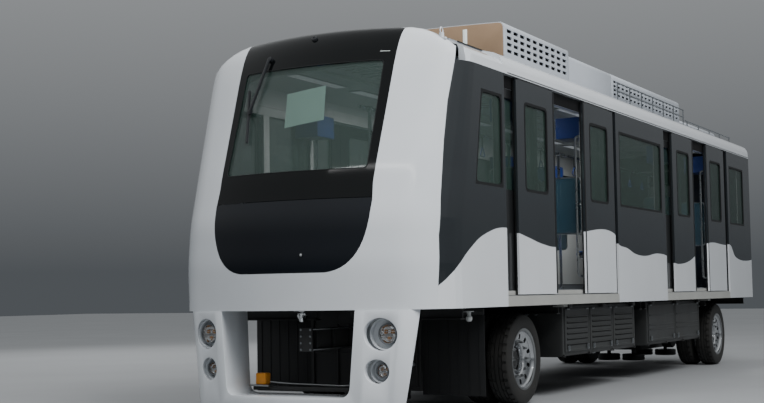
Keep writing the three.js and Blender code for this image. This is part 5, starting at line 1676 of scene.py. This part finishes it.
# %% Draught screens and drive covers
SCREEN = {"off": 0.760, "inner": 0.860, "outer": 1.306, "low": 1.780, "high": 2.420, "thick": 0.010}
COVER = {"near": 0.745, "far": 1.100, "inner": 1.020, "low": 2.860, "high": 3.100}
sheets, edgings, drive_covers = [], [], []
for x in DOORWAYS.values():
    for way in (-1, 1):
        at = x + way * SCREEN["off"]
        shape = rectangle(SCREEN["inner"], SCREEN["outer"], SCREEN["low"], SCREEN["high"], 0.060)
        half_thick = SCREEN["thick"] / 2
        sheets.append(both_sides(prism(inset(shape, 0.008), at - half_thick, at + half_thick, "x")))
        route = [(at, y, z) for y, z in inset(shape, 0.004)]
        edgings.append(both_sides(tube(route + route[:2], 0.011, sides=3)))
        ends = sorted((x + way * COVER["near"], x + way * COVER["far"]))
        cover = block((ends[0], COVER["inner"], COVER["low"]), (ends[1], 1.314, COVER["high"]), 0.012, 3)
        drive_covers.append(both_sides(cover))
piece("draught_screens", CAR, sheets, screen_plastic, "glass")
piece("screen_edges", CAR, edgings, brushed, "handrail_steel")
piece("drive_covers", CAR, drive_covers, blue_film, "seat_blue")
print(len(sheets) * 2, "draught screens")

# %% [markdown]
# ## The rear end
# The end that is coupled to another car is a flat dark wall with a hinged door in the middle. The
# door has a pane in a rubber profile, a kick plate and a lever handle. On each side of it are two
# round tail lamps, grab rails, a louvred grille and a row of sockets for cables to the next car.

# %% End door
end_outline = rectangle(-0.260, 0.260, 2.000, 2.900, 0.060)
end_seal = frame_ring(end_outline, inset(end_outline, 0.024), END - 0.006, END + 0.038, "x")
end_pane = prism(inset(end_outline, 0.0245), END + 0.014, END + 0.020, "x")
piece("end_door_seal", "end_door", [end_seal], rubber, "guide_tyre")
piece("end_door_pane", "end_door", [end_pane], side_glass, "glass")
plates = [block((END - 0.0030, -0.370, 1.190), (END - 0.0002, 0.280, 1.420), 0.001)]
plates += [rod(0.005, END - 0.0055, END - 0.002, "x", (0, y, z), 10) for y in (-0.350, -0.045, 0.260)
           for z in (1.205, 1.405)]
lever = [rod(0.026, END - 0.010, END - 0.0002, "x", (0, -0.320, 2.02), 24),
         rod(0.011, END - 0.050, END - 0.004, "x", (0, -0.320, 2.02), 16),
         tube([(END - 0.048, -0.320, 2.02), (END - 0.052, -0.300, 2.02), (END - 0.052, -0.205, 2.014)], 0.009,
              smooth=True, sides=3),
         rod(0.013, END - 0.010, END - 0.0002, "x", (0, -0.320, 1.94), 16)]
piece("end_door_kick_plate", "end_door", plates, brushed, "handrail_steel")
piece("end_door_handle", "end_door", lever, polished, "handrail_steel")
strips = [block((END - 0.004, -0.396, 1.168), (END - 0.0002, -0.384, 3.112), 0.001),
          block((END - 0.004, -0.384, 3.100), (END - 0.0002, 0.300, 3.112), 0.001)]
piece("end_door_rubbers", "end_door", strips, rubber, "guide_tyre")
print("on the end door:", list(triangles)[-5:])

# %% End wall fittings
TAIL_Y = 1.105
TAIL_Z = {"red": 1.285, "white": 1.405}


def tail_lens(colour):
    """A low dome for the lamps of one colour, on both sides of the end wall."""
    return both_sides(turned([(0.0495, END - 0.001), (0.0495, END - 0.012), (0.040, END - 0.019),
                              (0.020, END - 0.0225), (0, END - 0.0235), (0, END - 0.001)], "x",
                             (0, TAIL_Y, TAIL_Z[colour]), 32))


housings = [both_sides(turned([(0.050, END - 0.0005), (0.062, END - 0.0005), (0.060, END - 0.016),
                               (0.053, END - 0.018), (0.050, END - 0.012)], "x", (0, TAIL_Y, z), 32,
                              closed=True)) for z in TAIL_Z.values()]
grabs, sockets = [], []
piece("tail_lamp_housings", CAR, housings, lamp_black, "chassis_black")
piece("tail_lamps_red", CAR, [tail_lens("red")], tail_red, "lamp")
piece("tail_lamps_white", CAR, [tail_lens("white")], lens_glass, "lamp")
for y, z0, z1 in ((0.560, 1.36, 2.36), (0.900, 1.70, 2.10)):
    route = [(END, y, z0), (END - 0.060, y, z0), (END - 0.066, y, z0 + 0.05), (END - 0.066, y, z1 - 0.05),
             (END - 0.060, y, z1), (END, y, z1)]
    grabs.append(both_sides(tube(route, 0.013, smooth=True, sides=3)))
    grabs += [both_sides(rod(0.026, END - 0.005, END - 0.0002, "x", (0, y, z), 20)) for z in (z0, z1)]
piece("end_grab_rails", CAR, grabs, polished, "handrail_steel")
for k in range(3):
    y = 0.640 + 0.155 * k
    sockets.append(both_sides(centred((END - 0.018, y, 1.090), (0.036, 0.110, 0.110), 0.008)))
    sockets.append(both_sides(rod(0.040, END - 0.066, END - 0.034, "x", (0, y, 1.090), 24, 0.003)))
    sockets.append(both_sides(rod(0.006, y - 0.030, y + 0.030, "y", (END - 0.052, 0, 1.138), 10)))
piece("jumper_sockets", CAR, sockets, lamp_black, "chassis_black")
trims = [both_sides(block((END - 0.003, 1.296, 1.010), (END - 0.0002, 1.320, 3.360), 0.001)),
         block((END - 0.004, -1.320, 1.006), (END - 0.0002, 1.320, 1.022), 0.001),
         block((END - 0.004, -0.460, 3.150), (END - 0.0002, 0.460, 3.172), 0.001),
         both_sides(block((END - 0.003, 0.440, 1.030), (END - 0.0002, 0.452, 3.145), 0.001))]
piece("end_wall_trims", CAR, trims, aluminium, "handrail_steel")
louvre = [both_sides(centred((END - 0.006, 0.870, 2.560 + 0.030 * k), (0.012, 0.420, 0.018), 0.003))
          for k in range(14)]
louvre.append(both_sides(frame_ring(rectangle(0.640, 1.100, 2.530, 2.980, 0.02),
                                    rectangle(0.655, 1.085, 2.545, 2.965, 0.02),
                                    END - 0.010, END - 0.0002, "x")))
piece("end_wall_louvres", CAR, louvre, aluminium, "handrail_steel")
print("on the end wall:", list(triangles)[-7:])

# %% Rubber flaps beside the splash plate
FLAP = {"x": 4.850 + MID, "inner": 0.626, "outer": 1.285, "low": 0.165, "thick": 0.008}
x, inner, outer, low, thick = FLAP.values()
flaps = [block((x - thick, inner, low), (x, outer, 0.998), 0.002)]
flaps += [centred((x + 0.002, inner + 0.06 + 0.108 * k, 0.560), (0.006, 0.012, 0.760), 0.002)
          for k in range(6)]
clamps = [block((x, inner, 0.930), (x + 0.010, outer, 0.985), 0.002)]
clamps += [rod(0.008, x + 0.008, x + 0.016, "x", (0, inner + 0.05 + 0.14 * k, 0.958), 6) for k in range(5)]
piece("rubber_flaps", CAR, [both_sides(part) for part in flaps], rubber, "guide_tyre")
piece("flap_clamps", CAR, [both_sides(part) for part in clamps], chassis, "chassis_black")
print("flaps:", triangles["rubber_flaps"], "triangles")

# %% [markdown]
# ## Floor and light
# A grey floor, a room that is bright above and dim at eye level, and soft lamps. The key lamp is
# high on the car's left, and a second one fills in from behind on its right. Only the farthest of
# the three long strips overhead shows in the gloss. Two lamps under the ceiling light the inside.

# %% Floor and lamps
bm = bmesh.new()
bmesh.ops.create_grid(bm, x_segments=1, y_segments=1, size=60)
floor_mesh = bpy.data.meshes.new("studio_floor")
bm.to_mesh(floor_mesh)
bm.free()
floor = bpy.data.objects.new("studio_floor", floor_mesh)
bpy.context.scene.collection.objects.link(floor)
floor_mesh.materials.append(finish("studio_floor_paint", "#8b8d8f", "#838587", (0.55, 0.7), 30, 0.2,
                                   cloud=2.0))

world = bpy.data.worlds.new("studio")
bpy.context.scene.world = world
world.use_nodes = True
tree = world.node_tree
aim = add(tree, "ShaderNodeTexCoord")
parts = add(tree, "ShaderNodeSeparateXYZ", {0: aim.outputs["Generated"]})
sky = add(tree, "ShaderNodeValToRGB", {0: parts.outputs["Z"]})
sky.color_ramp.elements[0].color = linear("#5d6165")
sky.color_ramp.elements[0].position = 0.02
sky.color_ramp.elements[1].color = linear("#eef1f3")
sky.color_ramp.elements[1].position = 0.62
tree.links.new(sky.outputs["Color"], tree.nodes["Background"].inputs["Color"])
tree.nodes["Background"].inputs["Strength"].default_value = 0.75

LIGHTS = [
    # name, place, aim, width, length, watts
    ("key", (9, 12, 15), (2, 0, 1.8), 9, 9, 4300),
    ("strip_near", (9, 0, 12), (9, 0, 0), 0.5, 16, 200),
    ("strip_middle", (13, 0, 12), (13, 0, 0), 0.5, 16, 300),
    ("strip_far", (18, 4, 12), (18, 4, 0), 0.5, 16, 200),
    ("far", (-6, -12, 9), (0, 0, 2), 9, 9, 900),
    ("room_front", (2.6, 0, 3.33), (2.6, 0, 0), 3.6, 0.9, 90),
    ("room_rear", (-2.6, 0, 3.33), (-2.6, 0, 0), 3.6, 0.9, 90),
]
MIRRORED = ("strip_far",)  # the other lamps would lie as patches in the gloss
for name, place, aim, width, length, watts in LIGHTS:
    data = bpy.data.lights.new(name, "AREA")
    data.shape = "RECTANGLE"
    data.energy, data.size, data.size_y = watts, width, length
    lamp = bpy.data.objects.new(name, data)
    turn = (Vector(place) - Vector(aim)).to_track_quat("Z", "Y").to_matrix().to_4x4()
    lamp.matrix_world = Matrix.Translation(place) @ turn
    lamp.visible_glossy = name in MIRRORED
    lamp.visible_camera = False
    bpy.context.scene.collection.objects.link(lamp)
print(len(LIGHTS), "lamps")

# %% Sizes and finish
print("triangles added:", sum(triangles.values()), "in", len(triangles), "pieces; the most in one piece:",
      max(triangles.values()))
